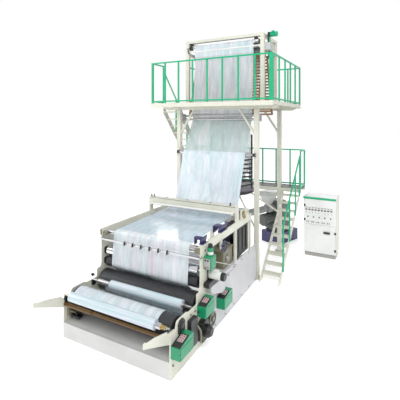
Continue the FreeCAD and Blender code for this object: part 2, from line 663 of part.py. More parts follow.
stair1_x0 = tower_half_x + post_size / 2 + 70.0
stair1_x1 = mid_half_x - rail_size
stair1_foot = (stair1_foot_y, 0.0)
stair1_head = (mid_front_y, mid_floor_z)
stair2_x0 = -upper_half_x
stair2_x1 = hatch_x - 8.0
stair2_foot = (mid_front_y + 140.0, mid_floor_z)
stair2_head = (hatch_y, upper_floor_z)
stringer_w1 = 150.0
stringer_w2 = 130.0
stringers1, treads1 = flight(stair1_x0, stair1_x1, stair1_foot, stair1_head, 11, stringer_w1)
stringers2, treads2 = flight(stair2_x0, stair2_x1, stair2_foot, stair2_head, 12, stringer_w2)
save("stair_stringers", stringers1 + stringers2)
save("stair_treads", treads1 + treads2)
save("stair_handrails", [
    handrail(stair1_x1 + half_rail, stair1_foot, stair1_head, (0.16, 0.45, 0.73, 0.97)),
    handrail(stair2_x0 - half_rail, stair2_foot, stair2_head, (0.05, 0.35, 0.66, 0.97))])

# Rollers of the web on the tower, in bearing blocks
top_roller_y = -top_half_y + 55.0
top_roller_rise = 150.0
top_roller_z = nip_z + top_roller_rise
top_roller_r = 55.0
web_gap = run_gap
nip_r = 80.0
nip_shaft_r = 25.0
tower_bearing_w = 60.0
nip_half = top_inner_x - tower_bearing_w - 55.0
nip_clear = 5.5
nip_y = nip_r + nip_clear + film_t / 2
top_end = top_inner_x - 4.0
save("tower_top_roller", [roller(film_half_x, top_roller_r, top_end, small_shaft_r, top_roller_y, top_roller_z)])
save("nip_roller_front", [roller(nip_half, nip_r, top_end, nip_shaft_r, -nip_y, nip_z)])
save("nip_roller_rear", [roller(nip_half, nip_r, top_end, nip_shaft_r, nip_y, nip_z)])
idler_y = wy(idler[0])
idler_half = film_half_x + 100.0
idler_bearing_w = 50.0
idler_block_h = 36.0
idler_end = post_in + idler_bearing_w + 8.0
save("idler_roller", [roller(idler_half, idler_r, idler_end, small_shaft_r, idler_y, idler[1])])
for s in side_signs:
    x0, x1 = s * top_inner_x, s * (top_inner_x - tower_bearing_w)
    block = prism_x([(top_roller_y - 60, top_roller_z - 50, 20), (top_roller_y - 60, top_roller_z + 50, 20),
                     (top_roller_y + 50, top_roller_z + 50, 20), (top_roller_y + 50, top_roller_z - 50, 20)], x0, x1)
    bearings.append(bored(block, x0, x1, top_roller_y, top_roller_z, small_shaft_r + bearing_gap))
    block = prism_x([(-nip_y - 70, nip_beam_z0, 0), (-nip_y - 70, nip_z + 60, 30), (nip_y + 70, nip_z + 60, 30),
                     (nip_y + 70, nip_beam_z0, 0)], x0, x1)
    for sy in side_signs:
        block = bored(block, x0, x1, sy * nip_y, nip_z, nip_shaft_r + bearing_gap)
    bearings.append(block)
    x0, x1 = s * post_in, s * (post_in + idler_bearing_w)
    block = prism_x([(idler_y - idler_block_h, idler[1] - idler_block_h, 15),
                     (idler_y - idler_block_h, idler[1] + idler_block_h, 15),
                     (-tower_half_y - post_size / 2, idler[1] + idler_block_h),
                     (-tower_half_y - post_size / 2, idler[1] - idler_block_h)], x0, x1)
    bearings.append(bored(block, x0, x1, idler_y, idler[1], small_shaft_r + bearing_gap))
save("bearing_blocks", bearings)

# Collapsing frames: two slatted boards that lean together under the nip
slat_count = 20
slat_w = 45.0
slat_t = 18.0
board_half = top_inner_x - 35.0
board_rail_w = 40.0
board_rail_t = 50.0
board_top = (-110.0, nip_z - 110.0)
board_low = (-540.0, upper_floor_z - 280.0)
board_run = math.hypot(board_top[0] - board_low[0], board_top[1] - board_low[1])
board_lean = math.atan2(board_top[0] - board_low[0], board_top[1] - board_low[1])
hanger_t = 15.0
stub_r = 14.0
stub_z = upper_floor_z + 80.0
hanger_z = nip_z - 170.0


def board_y(z):
    """Y of the front board's film side at a height."""
    return board_low[0] + (z - board_low[1]) * math.tan(board_lean)


def collapsing_board():
    """Slats along X on two side rails that hang from the top frame."""
    bars = []
    for s in side_signs:
        bars.append(box(s * board_half, s * (board_half - board_rail_w), -slat_t - board_rail_t, -slat_t, 0, board_run))
    pitch = (board_run - slat_w) / (slat_count - 1)
    for i in range(slat_count):
        bars.append(box(-board_half, board_half, -slat_t, 0, i * pitch, i * pitch + slat_w))
    board = fuse(bars)
    board.rotate(V(0, 0, 0), V(1, 0, 0), -math.degrees(board_lean))
    board.translate(V(0, board_low[0], board_low[1]))
    rail_offset = (slat_t + board_rail_t / 2) / math.cos(board_lean)
    hung = [board]
    for s in side_signs:
        y = board_y(stub_z) - rail_offset
        hung.append(cyl_x(s * (board_half - 10), s * top_inner_x, y, stub_z, stub_r))
        y = board_y(hanger_z) - rail_offset
        hung.append(cyl_x(s * (board_half - 10), s * (top_inner_x + 5), y, hanger_z, stub_r))
        hung.append(box(s * top_inner_x, s * (top_inner_x + hanger_t), y - 30, y + 30, hanger_z - 30, nip_beam_z0))
    return fuse(hung)


front_board = collapsing_board()
save("collapsing_boards", [front_board, front_board.mirror(V(0, 0, 0), V(0, 1, 0))])

# Film bubble: out of the die, up through the cage, flattened towards the nip
bubble_r = 500.0
lip_r = 150.0
lip_z = ring_z + 80.0
neck_z = lip_z + 120.0
swell_z = lip_z + 430.0
swell_r = 410.0
bubble_full_z = 2400.0
bubble_fold_z = board_low[1] - 140.0
bubble_top_z = nip_z - nip_r - 10.0
fold_zs = [bubble_fold_z + share * (bubble_top_z - bubble_fold_z) for share in (0.33, 0.66, 1.0)]
fold_gap = 60.0
flat_half = 6.0


def oval(half_x, half_y, z):
    if half_x - half_y < 1e-6:
        return Part.Wire(Part.Circle(V(0, 0, z), V(0, 0, 1), half_x).toShape())
    return Part.Wire(Part.Ellipse(V(0, 0, z), half_x, half_y).toShape())


def folded(z):
    """Section of the bubble between the boards, a little inside them."""
    half_y = min(max(-board_y(z) - fold_gap, flat_half), bubble_r)
    half_x = film_half_x - (film_half_x - bubble_r) * (half_y / bubble_r) ** 2
    return oval(half_x, half_y, z)


neck = Part.makeLoft([oval(lip_r, lip_r, lip_z), oval(lip_r + 25, lip_r + 25, neck_z),
                      oval(swell_r, swell_r, swell_z), oval(bubble_r, bubble_r, bubble_full_z)], True, False)
fold = Part.makeLoft([oval(bubble_r, bubble_r, bubble_fold_z)] + [folded(z) for z in fold_zs], True, False)
save("film_bubble", [fuse([neck, cyl_z(bubble_full_z, bubble_fold_z, 0, 0, bubble_r), fold])])

# Die on its pedestal, air ring and bubble cage
ring_h = 125.0
ring_outer = bubble_r + 90.0
ring_inner = 205.0
ring_slot = 12.0
save("air_ring", [revolve_z([
    (ring_inner, ring_z), (ring_outer - 60, ring_z), (ring_outer, ring_z + 35), (ring_outer, ring_z + 50),
    (ring_outer - ring_slot, ring_z + 50), (ring_outer - ring_slot, ring_z + 62), (ring_outer, ring_z + 62),
    (ring_outer, ring_z + ring_h - 18), (ring_outer - 18, ring_z + ring_h), (ring_inner + 90, ring_z + ring_h),
    (ring_inner + 60, ring_z + ring_h - 30), (ring_inner + 30, ring_z + ring_h - 30), (ring_inner, ring_z + 70)])])
die_r = 175.0
die_flange_r = 300.0
die_base_z = 1130.0
elbow_half = 120.0
elbow_z0 = 900.0
barrel_y0 = 260.0
pedestal_half = 230.0
pedestal_t = 20.0
die = revolve_z([
    (0, die_base_z), (die_r + 15, die_base_z), (die_r + 15, die_base_z + 30), (die_r, die_base_z + 45),
    (die_r, ring_z - 140), (die_r + 25, ring_z - 120), (die_r + 25, ring_z - 30), (die_flange_r, ring_z - 30),
    (die_flange_r, ring_z), (lip_r + 10, ring_z), (lip_r + 10, lip_z - 20), (lip_r, lip_z), (0, lip_z)])
extruder_turn = 22.0


def turned(solid):
    """A piece of the extruder, modelled along +Y, turned about the die's axis to where the extruder stands."""
    solid.rotate(V(0, 0, 0), V(0, 0, 1), -extruder_turn)
    return solid


save("die_head", [turned(fuse([
    die, box(-elbow_half, elbow_half, -elbow_half, barrel_y0, elbow_z0, die_base_z),
    box(-160, 160, -160, 160, elbow_z0 - 20, elbow_z0), box(-90, 90, -90, 90, pedestal_t, elbow_z0 - 20),
    box(-pedestal_half, pedestal_half, -pedestal_half, pedestal_half, 0, pedestal_t)]))])
# Bubble cage: eight-sided rods with a roller from each to the next, one above another
cage_gap = 8.0
cage_roller_r = 20.0
cage_rod_r = 14.0
cage_sides = 8
cage_low_z = 1930.0
cage_pitch = 106.0
cage_rows = 7
cage_top_z = 3190.0
cage_step = math.pi / cage_sides
cage_r = (bubble_r + cage_gap + cage_roller_r) / math.cos(cage_step)
cage_rod_edge = cage_rod_r / math.cos(cage_step)
cage = []
for i in range(cage_sides):
    angle = 2 * cage_step * i
    corners = [V(cage_r + cage_rod_edge * math.cos(2 * cage_step * k), cage_rod_edge * math.sin(2 * cage_step * k),
                 ring_z + ring_h) for k in range(cage_sides)]
    pieces = [Part.Face(Part.makePolygon(corners + [corners[0]])).extrude(V(0, 0, cage_top_z - ring_z - ring_h))]
    length = 2 * cage_r * math.sin(cage_step) - 2 * cage_rod_r
    for row in range(cage_rows):
        piece = Part.makeCylinder(cage_roller_r, length, V(0, 0, 0), V(0, 1, 0))
        piece.translate(V(0, cage_rod_r, 0))
        piece.rotate(V(0, 0, 0), V(0, 0, 1), math.degrees(cage_step))
        piece.translate(V(cage_r, 0, cage_low_z + cage_pitch * row))
        pieces.append(piece)
    for piece in pieces:
        piece.rotate(V(0, 0, 0), V(0, 0, 1), math.degrees(angle))
        cage.append(piece)
save("bubble_cage", cage)

# Extruder: barrel, feed hopper, gearbox, motor, base frame
die_axis_z = 1020.0
barrel_r = 60.0
jacket_r = 95.0
jacket_y1 = 1380.0
band_w = 90.0
band_pitch = 150.0
barrel_y1 = 1690.0
hopper_y = 1500.0
hopper_half = 185.0
hopper_z0 = 1130.0
hopper_z1 = 1400.0
hopper_top_z = 1500.0
hopper_rim = 18.0
throat_half = 60.0
base_half = 300.0
base_y0 = 1560.0
base_y1 = 2500.0
base_top_z = 320.0
gearbox_half = 230.0
gearbox_y1 = 2250.0
gearbox_z = 1240.0


def square_wire(half, z):
    loop = [V(-half, hopper_y - half, z), V(half, hopper_y - half, z), V(half, hopper_y + half, z),
            V(-half, hopper_y + half, z)]
    return Part.makePolygon(loop + [loop[0]])


bands = []
band_y = barrel_y0 + 60.0
while band_y + band_w < jacket_y1:
    bands.append(cyl_y(band_y, band_y + band_w, 0, die_axis_z, jacket_r))
    band_y += band_pitch
save("extruder_barrel", [turned(fuse([
    cyl_y(barrel_y0, barrel_y1, 0, die_axis_z, barrel_r),
    cyl_y(barrel_y0 + 60.0, jacket_y1, 0, die_axis_z, jacket_r - 15),
    cyl_y(barrel_y1 - 40.0, barrel_y1, 0, die_axis_z, jacket_r + 20),
    box(-jacket_r, jacket_r, hopper_y - jacket_r, hopper_y + jacket_r, die_axis_z - jacket_r, hopper_z0 - 10),
    box(-throat_half - 20, throat_half + 20, hopper_y - throat_half - 20, hopper_y + throat_half + 20,
        hopper_z0 - 10, hopper_z0),
    Part.makeLoft([square_wire(throat_half, hopper_z0), square_wire(hopper_half, hopper_z1)], True, True),
    Part.makeLoft([square_wire(hopper_half, hopper_z1), square_wire(hopper_half, hopper_top_z)], True, True),
    Part.makeLoft([square_wire(hopper_half + hopper_rim, hopper_top_z),
                   square_wire(hopper_half + hopper_rim, hopper_top_z + 12)], True, True)] + bands))])
save("extruder_base", [turned(box(-base_half, base_half, base_y0, base_y1, 0, base_top_z))])

# Gearbox on the base, and the motor on the face that looks towards the die, under the barrel
drive_motor_r = 170.0
drive_motor_length = 460.0
drive_motor_z = 720.0
gearbox = prism_x([(barrel_y1, base_top_z, 0), (barrel_y1, gearbox_z, 60), (gearbox_y1 - 250, gearbox_z, 60),
                   (gearbox_y1, gearbox_z - 350, 60), (gearbox_y1, base_top_z, 0)], -gearbox_half, gearbox_half)
drive_motor = motor(drive_motor_length, drive_motor_r)
drive_motor.rotate(V(0, 0, 0), V(0, 0, 1), -90)
drive_motor.translate(V(0, barrel_y1, drive_motor_z))
drive_motor.rotate(V(0, barrel_y1, drive_motor_z), V(0, 1, 0), 180)
save("extruder_drive", [turned(fuse([gearbox, drive_motor]))])

# Blower for the air ring, on the floor between the base panels
blower_x = plate_inner_x - 390.0
blower_z = 980.0
blower_r = 200.0
blower_half_w = 110.0
blower_growth = 32.0
blower_outlet = 330.0
blower_frame = 20.0
blower_stand_z = blower_z - blower_r - 3 * blower_growth - 40.0


def volute(x0, x1):
    """Scroll of the blower: four quarter arcs that grow, ending in an outlet towards +Y at the top."""
    across, up = 0.0, 0.0
    start = V(x0, blower_y, blower_z + blower_r)
    edges = []
    corner = start
    for k in range(4):
        r = blower_r + blower_growth * k
        if k:
            across -= blower_growth * math.cos(k * math.pi / 2)
            up -= blower_growth * math.sin(k * math.pi / 2)
        middle = (k + 0.5) * math.pi / 2
        end = (k + 1) * math.pi / 2
        stops = [V(x0, blower_y + up + r * math.sin(a), blower_z + across + r * math.cos(a)) for a in (middle, end)]
        edges.append(Part.Arc(corner, stops[0], stops[1]).toShape())
        corner = stops[1]
    mouth = [corner, V(x0, corner.y + blower_outlet, corner.z), V(x0, corner.y + blower_outlet, start.z), start]
    edges += [Part.LineSegment(a, b).toShape() for a, b in zip(mouth[:-1], mouth[1:])
              if (a - b).Length > 1e-6]
    return Part.Face(Part.Wire(edges)).extrude(V(x1 - x0, 0, 0))


blower_motor = motor(230.0, 95.0)
blower_motor.translate(V(blower_x + blower_half_w, blower_y, blower_z))
stand = prism_x([(blower_y - 250, blower_frame), (blower_y - 160, blower_z), (blower_y + 160, blower_z),
                 (blower_y + 250, blower_frame)], blower_x - blower_half_w - blower_frame, blower_x - blower_half_w)
far_stand = stand.copy()
far_stand.translate(V(2 * blower_half_w + blower_frame, 0, 0))
save("air_blower", [fuse([
    volute(blower_x - blower_half_w, blower_x + blower_half_w), stand, far_stand, blower_motor,
    cyl_x(blower_x - blower_half_w - 60, blower_x - blower_half_w, blower_y, blower_z, 110),
    box(blower_x - blower_half_w - blower_frame, plate_inner_x, blower_y - 250, blower_y + 250, 0, blower_frame)])])


# Film web from the nip down the tower and over the winder
def web_path(stops):
    """Edges of a path round circles (y, z, r); r > 0 turns left, r < 0 right, and r = 0 is an end."""
    runs = []
    for (ya, za, ra), (yb, zb, rb) in zip(stops[:-1], stops[1:]):
        length = math.hypot(yb - ya, zb - za)
        heading = math.atan2(zb - za, yb - ya) + math.asin((ra - rb) / length)
        ny, nz = math.sin(heading), -math.cos(heading)
        runs.append(((ya + ra * ny, za + ra * nz), (yb + rb * ny, zb + rb * nz), heading))
    edges = []
    for i, (p, q, heading) in enumerate(runs):
        edges.append((V(0, *p), V(0, *q)))
        if i + 1 < len(runs):
            y, z, r = stops[i + 1]
            turned = (runs[i + 1][2] - heading + math.pi) % (2 * math.pi) - math.pi
            if turned * r < 0:
                turned += math.copysign(2 * math.pi, r)
            middle = heading + turned / 2
            edges.append((V(0, *q), V(0, y + r * math.sin(middle), z - r * math.cos(middle)), V(0, *runs[i + 1][0])))
    return edges


def web_sheet(stops, x0, x1):
    """Sheet of film that follows a path, its thickness to the right of travel."""
    near = web_path(stops)
    far_side = web_path([(y, z, r + film_t) for y, z, r in stops])
    edges = []
    for piece in near + far_side:
        edge = Part.LineSegment(*piece) if len(piece) == 2 else Part.Arc(*piece)
        edges.append(edge.toShape())
    edges.append(Part.LineSegment(near[0][0], far_side[0][0]).toShape())
    edges.append(Part.LineSegment(near[-1][-1], far_side[-1][-1]).toShape())
    sheet = Part.Face(Part.Wire(Part.__sortEdges__(edges))).extrude(V(x1 - x0, 0, 0))
    sheet.translate(V(x0, 0, 0))
    return sheet


def on_drum(drum, r, angle, step):
    """Point at an angle on a circle round a drum, moved along its tangent by a step."""
    return (wy(drum[0]) + r * math.cos(angle) - step * math.sin(angle),
            drum[1] + r * math.sin(angle) + step * math.cos(angle), 0.0)


guide_bar_y = -tower_half_y + 262.0
guide_bar_r = 28.0
guide_bar_pitch = 92.0
leave_turn = math.radians(14.0)
leave_step = 4.0
layer_gap = 0.3
tube_gap = 0.3
inner_r = drum_r + web_gap + film_t
outer_r = inner_r + layer_gap + film_t
front_film_x = (-drum_half + 40.0, drum_half - 235.0)
save("film_web", [
    web_sheet([
        (-film_t / 2, bubble_top_z, 0.0),
        (-nip_y, nip_z, nip_r + nip_clear),
        (top_roller_y, top_roller_z, top_roller_r + web_gap),
        (guide_bar_y, guide_bar_z, -(guide_bar_r + film_t)),
        (idler_y, idler[1], idler_r + web_gap),
        (wy(turn[0]), turn[1], -(turn_r + web_gap + film_t)),
        (wy(guide[0]), guide[1], guide_r + web_gap),
        (wy(nip_steel[0]), nip_steel[1], nip_steel_r + web_gap),
        (wy(nip_rubber[0]), nip_rubber[1], nip_rubber_r + web_gap),
        (wy(drum_rear[0]), drum_rear[1], -inner_r),
        on_drum(drum_rear, inner_r, math.pi - roll_rear_angle + leave_turn, -leave_step)], -film_half_x, film_half_x),
    web_sheet([
        on_drum(drum_rear, outer_r, leave_turn, leave_step),
        (wy(drum_rear[0]), drum_rear[1], -outer_r),
        (wy(tube_rear[0]), tube_rear[1], -(cross_tube_r + tube_gap + film_t)),
        (wy(drum_front[0]), drum_front[1], drum_r + web_gap),
        on_drum(drum_front, drum_r + web_gap, math.pi - roll_front_angle - leave_turn, leave_step)], *front_film_x)])

# Guide bars on brackets behind the front posts
guide_bars = []
for s in side_signs:
    guide_bars.append(box(s * tower_half_x - 15, s * tower_half_x + 15, -tower_half_y + post_size / 2,
                          guide_bar_y + 48, guide_bar_z - 45, guide_bar_z + guide_bar_pitch + 45))
for y, z in ((guide_bar_y, guide_bar_z), (guide_bar_y + 4, guide_bar_z + guide_bar_pitch)):
    guide_bars.append(cyl_x(-tower_half_x, tower_half_x, y, z, guide_bar_r))
save("guide_bars", [fuse(guide_bars)])

# Drive of the nip rollers, on the right side of the top frame
drive_x = top_half_x + half_top_post
drive_y = -top_half_y + 150.0
drive_motor_top_z = top_z - 20.0
drive_gear_z = nip_z + 10.0
drive_column_z = nip_z - 215.0
drive_rod_z = upper_floor_z + 290.0
drive_post_x = drive_x + 90.0
top_motor = motor(190.0, 62.0)
top_motor.translate(V(drive_x + 80, drive_y, drive_motor_top_z))
save("top_drive", [fuse([
    top_motor,
    prism_x([(drive_y - 62, drive_gear_z - 60, 55), (drive_y - 62, drive_motor_top_z + 62, 55),
             (drive_y + 62, drive_motor_top_z + 62, 55), (drive_y + 62, drive_gear_z - 60, 55)],
            drive_x + 45, drive_x + 80),
    prism_x([(-top_half_y, drive_gear_z - 90, 20), (-top_half_y, drive_gear_z + 90, 20),
             (drive_y + 80, drive_gear_z + 90, 40), (drive_y + 80, drive_gear_z - 90, 40)], drive_x, drive_x + 140),
    cyl_z(drive_column_z, drive_gear_z, drive_post_x, drive_y, 48),
    cyl_z(drive_column_z - 30, drive_column_z, drive_post_x, drive_y, 58),
    cyl_z(drive_rod_z, drive_column_z, drive_post_x, drive_y, 13),
    cyl_z(drive_rod_z - 55, drive_rod_z, drive_post_x, drive_y, 28)])])

# Control cabinet: open shell with an instrument door over a lower door
cab_x0 = mid_half_x + 45.0
cab_w = 810.0
cab_y0 = mid_front_y + 140.0
cab_depth = 600.0
cab_h = 1500.0
cab_t = 15.0
plinth_h = 110.0
plinth_in = 20.0
door_t = 22.0
split_z = 840.0
roof_t = 55.0
roof_over = 12.0
hinge_r = 7.0
hinge_in = 8.0
leaf_t = 4.0
knuckle = 60.0
knuckle_gap = 0.3
cab_x1 = cab_x0 + cab_w
cab_y1 = cab_y0 + cab_depth
door_y1 = cab_y0 - door_gap
door_y0 = door_y1 - door_t
shell = box(cab_x0, cab_x1, cab_y0, cab_y1, plinth_h, cab_h)
for z0, z1 in ((plinth_h + cab_t, split_z - cab_t / 2), (split_z + cab_t / 2, cab_h - cab_t)):
    shell = shell.cut(box(cab_x0 + cab_t, cab_x1 - cab_t, cab_y0 - 1, cab_y1 - cab_t, z0, z1))
body = [shell, box(cab_x0 + plinth_in, cab_x1 - plinth_in, cab_y0 + plinth_in, cab_y1 - plinth_in, 0, plinth_h),
        box(cab_x0 - roof_over, cab_x1 + roof_over, door_y0 - roof_over, cab_y1 + roof_over, cab_h, cab_h + roof_t)]


def tile(x, z, w, h, proud):
    """Small rounded plate on the face of a door."""
    plate = box(x - w / 2, x + w / 2, door_y0 - proud, door_y0, z - h / 2, z + h / 2)
    uprights = [edge for edge in plate.Edges if abs(edge.tangentAt(edge.FirstParameter).y) > 0.9]
    return plate.makeFillet(min(w, h) * 0.2, uprights)


meter_pitch = 78.0
switch_pitch = 142.0
knob_pitch = 130.0
meter_z = 1245.0
lamp_z = 1145.0
switch_z = 1035.0
knob_z = 905.0
instruments = [tile(cab_x0 + 72 + meter_pitch * i, meter_z, 50, 76, 10) for i in range(9)]
instruments += [cyl_y(door_y0 - 14, door_y0, cab_x0 + 112 + switch_pitch * i, switch_z, 16) for i in range(5)]
instruments += [cyl_y(door_y0 - 8, door_y0, cab_x0 + 72 + meter_pitch * i, lamp_z, 9) for i in range(9) if i != 5]
instruments += [cyl_y(door_y0 - 20, door_y0, cab_x0 + 105 + knob_pitch * i + dx, knob_z, 11)
                for i in range(5) for dx in (-22, 22)]
lower_door_trim = [tile(cab_x0 + 0.72 * cab_w, 660.0, 160, 50, 28)]
doors = (("cabinet_lower_door", 1, plinth_h + door_gap, split_z - door_gap / 2),
         ("cabinet_instrument_door", -1, split_z + door_gap / 2, cab_h - door_gap))
for name, side, z0, z1 in doors:
    edge_x = cab_x1 if side > 0 else cab_x0
    free_x = cab_x0 if side > 0 else cab_x1
    hinge_x = edge_x - side * hinge_in
    slab = box(free_x + side * door_gap, hinge_x - side * hinge_in, door_y0, door_y1, z0, z1)
    pieces = [slab]
    for z in (z0 + 80, z1 - 80 - 2 * knuckle):
        pieces.append(cyl_z(z, z + knuckle, hinge_x, door_y0, hinge_r))
        pieces.append(box(hinge_x, hinge_x - side * 40, door_y0 - leaf_t, door_y0, z, z + knuckle))
        pin_z = z + knuckle + knuckle_gap
        body.append(cyl_z(pin_z, pin_z + knuckle, hinge_x, door_y0, hinge_r))
        body.append(box(hinge_x + side * 1, hinge_x + side * 7, door_y0, cab_y0, pin_z, pin_z + knuckle))
    pieces += lower_door_trim if side > 0 else instruments
    save(name, [fuse(pieces)])
save("cabinet_body", [fuse(body)])
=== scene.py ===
# Looks of the blown film line: camera, light, floor, materials and the pieces that only Blender makes.

import math

import bmesh
import bpy
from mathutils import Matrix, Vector


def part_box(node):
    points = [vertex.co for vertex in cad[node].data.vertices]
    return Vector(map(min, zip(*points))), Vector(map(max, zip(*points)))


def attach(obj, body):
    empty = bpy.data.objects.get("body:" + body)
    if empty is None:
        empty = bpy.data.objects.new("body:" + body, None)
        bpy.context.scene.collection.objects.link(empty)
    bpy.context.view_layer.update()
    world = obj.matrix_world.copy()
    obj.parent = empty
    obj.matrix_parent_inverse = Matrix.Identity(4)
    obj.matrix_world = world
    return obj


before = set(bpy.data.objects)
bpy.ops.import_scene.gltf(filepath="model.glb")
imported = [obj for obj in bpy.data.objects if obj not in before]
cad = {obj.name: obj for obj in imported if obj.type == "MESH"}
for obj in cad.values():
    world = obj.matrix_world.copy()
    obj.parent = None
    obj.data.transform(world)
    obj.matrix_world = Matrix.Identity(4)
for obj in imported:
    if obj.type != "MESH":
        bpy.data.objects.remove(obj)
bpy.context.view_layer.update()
bpy.context.scene.view_settings.view_transform = "Standard"

# Camera: level view, so the vertical edges stay vertical, and the frame is shifted down.
FRAME_PX = 400
FOCAL_PX = 354.22
HORIZON_ROW = 120.88
SENSOR = 36.0
CAMERA_PLACE = (3.692, -8.586, 3.548)
CAMERA_YAW = math.radians(28.33)
lens = bpy.data.cameras.new("view")
lens.sensor_width = SENSOR
lens.lens = SENSOR * FOCAL_PX / FRAME_PX
lens.shift_y = (HORIZON_ROW - FRAME_PX / 2) / FRAME_PX
lens.clip_end = 200.0
camera = bpy.data.objects.new("view", lens)
camera.location = CAMERA_PLACE
camera.rotation_euler = (math.pi / 2, 0.0, CAMERA_YAW)
bpy.context.collection.objects.link(camera)
bpy.context.scene.camera = camera


# Material helpers
def new_material(name):
    mat = bpy.data.materials.new(name)
    mat.use_nodes = True
    tree = mat.node_tree
    bsdf = next(n for n in tree.nodes if n.type == "BSDF_PRINCIPLED")
    return mat, tree, bsdf


def object_coords(tree, scale=(1.0, 1.0, 1.0)):
    coords = tree.nodes.new("ShaderNodeTexCoord")
    mapping = tree.nodes.new("ShaderNodeMapping")
    mapping.inputs["Scale"].default_value = scale
    tree.links.new(coords.outputs["Object"], mapping.inputs["Vector"])
    return mapping.outputs["Vector"]


def noise(tree, scale, detail=4.0, stretch=(1.0, 1.0, 1.0), roughness=0.5, distortion=0.0):
    made = tree.nodes.new("ShaderNodeTexNoise")
    made.inputs["Scale"].default_value = scale
    made.inputs["Detail"].default_value = detail
    made.inputs["Roughness"].default_value = roughness
    made.inputs["Distortion"].default_value = distortion
    tree.links.new(object_coords(tree, stretch), made.inputs["Vector"])
    return made.outputs["Fac"]


def ramp(tree, value, stops):
    """stops: (position, grey value or colour) pairs."""
    made = tree.nodes.new("ShaderNodeValToRGB")
    elements = made.color_ramp.elements
    while len(elements) < len(stops):
        elements.new(0.5)
    for element, (place, colour) in zip(elements, stops):
        element.position = place
        if not hasattr(colour, "__len__"):
            colour = (colour, colour, colour)
        element.color = (*colour[:3], 1.0)
    tree.links.new(value, made.inputs["Fac"])
    return made.outputs["Color"]


def mix_colour(tree, factor, a, b, blend="MIX"):
    made = tree.nodes.new("ShaderNodeMix")
    made.data_type = "RGBA"
    made.blend_type = blend
    for socket, value in (("Factor", factor), ("A", a), ("B", b)):
        places = [s for s in made.inputs if s.name == socket and s.enabled]
        target = places[0] if socket == "Factor" else [s for s in places if s.type == "RGBA"][0]
        if isinstance(value, bpy.types.NodeSocket):
            tree.links.new(value, target)
        elif socket == "Factor":
            target.default_value = value
        else:
            target.default_value = (*value[:3], 1.0)
    return next(s for s in made.outputs if s.type == "RGBA")


def maths(tree, kind, a, b):
    made = tree.nodes.new("ShaderNodeMath")
    made.operation = kind
    for socket, value in zip(made.inputs, (a, b)):
        if isinstance(value, bpy.types.NodeSocket):
            tree.links.new(value, socket)
        else:
            socket.default_value = value
    return made.outputs["Value"]


def inside(tree, **ranges):
    """1 inside a box of the part's own coordinates, such as x=(0.5, 1.0), and 0 outside it."""
    split = tree.nodes.new("ShaderNodeSeparateXYZ")
    tree.links.new(object_coords(tree), split.inputs["Vector"])
    found = None
    for axis, (low, high) in ranges.items():
        value = split.outputs[axis.upper()]
        both = maths(tree, "MULTIPLY", maths(tree, "GREATER_THAN", value, low),
                     maths(tree, "LESS_THAN", value, high))
        found = both if found is None else maths(tree, "MULTIPLY", found, both)
    return found


def bump(tree, bsdf, height, strength, distance, bevel=0.0):
    made = tree.nodes.new("ShaderNodeBump")
    made.inputs["Strength"].default_value = strength
    made.inputs["Distance"].default_value = distance
    tree.links.new(height, made.inputs["Height"])
    if bevel:
        rounding = tree.nodes.new("ShaderNodeBevel")
        rounding.samples = 4
        rounding.inputs["Radius"].default_value = bevel
        tree.links.new(rounding.outputs["Normal"], made.inputs["Normal"])
    tree.links.new(made.outputs["Normal"], bsdf.inputs["Normal"])


def shade(colour, factor):
    return tuple(c * factor for c in colour)


def paint(name, colour, roughness=0.4, mottle=0.10, bevel=0.004, zones=()):
    """Sprayed paint: slight tone changes, orange peel, uneven gloss and rounded edges.

    zones: (ranges, colour) for stretches with a colour of their own, or for a side painted darker as shade."""
    mat, tree, bsdf = new_material(name)
    bsdf.inputs["Coat Weight"].default_value = 0.15
    bsdf.inputs["Coat Roughness"].default_value = 0.2
    tone = colour
    for ranges, other in zones:
        tone = mix_colour(tree, inside(tree, **ranges), tone, other)
    wear = ramp(tree, noise(tree, 2.2, 5.0, distortion=0.4), [(0.35, 1.0 - mottle), (0.65, 1.0)])
    shaded = mix_colour(tree, 1.0, tone, wear, "MULTIPLY")
    tree.links.new(shaded, bsdf.inputs["Base Color"])
    gloss = ramp(tree, noise(tree, 9.0, 4.0), [(0.3, roughness - 0.06), (0.7, roughness + 0.08)])
    tree.links.new(gloss, bsdf.inputs["Roughness"])
    bump(tree, bsdf, noise(tree, 420.0, 2.0), 0.12, 0.0004, bevel)
    return mat


def metal(name, colour, roughness=0.25, streak=(1.0, 40.0, 40.0), bevel=0.002):
    """Turned or ground metal with fine streaks round or along it."""
    mat, tree, bsdf = new_material(name)
    bsdf.inputs["Metallic"].default_value = 1.0
    tone = ramp(tree, noise(tree, 6.0, 5.0, streak), [(0.3, shade(colour, 0.82)), (0.7, colour)])
    tree.links.new(tone, bsdf.inputs["Base Color"])
    gloss = ramp(tree, noise(tree, 12.0, 4.0, streak), [(0.3, roughness * 0.75), (0.7, roughness * 1.3)])
    tree.links.new(gloss, bsdf.inputs["Roughness"])
    bump(tree, bsdf, noise(tree, 60.0, 3.0, streak), 0.15, 0.0003, bevel)
    return mat


def rubber(name, colour, roughness=0.42):
    mat, tree, bsdf = new_material(name)
    bsdf.inputs["Specular IOR Level"].default_value = 0.5
    tone = ramp(tree, noise(tree, 8.0, 4.0, (1.0, 6.0, 6.0)), [(0.35, colour), (0.7, shade(colour, 1.7))])
    tree.links.new(tone, bsdf.inputs["Base Color"])
    gloss = ramp(tree, noise(tree, 14.0, 3.0, (1.0, 5.0, 5.0)),
                 [(0.3, roughness - 0.12), (0.7, roughness + 0.1)])
    tree.links.new(gloss, bsdf.inputs["Roughness"])
    bump(tree, bsdf, noise(tree, 240.0, 2.0), 0.2, 0.0004, 0.003)
    return mat


CLEAR = (1.0, 1.0, 1.0)
FILM_LILAC = (0.70, 0.74, 0.84)
FILM_TEAL = (0.62, 0.86, 0.83)
FILM_ROSE = (0.95, 0.86, 0.88)


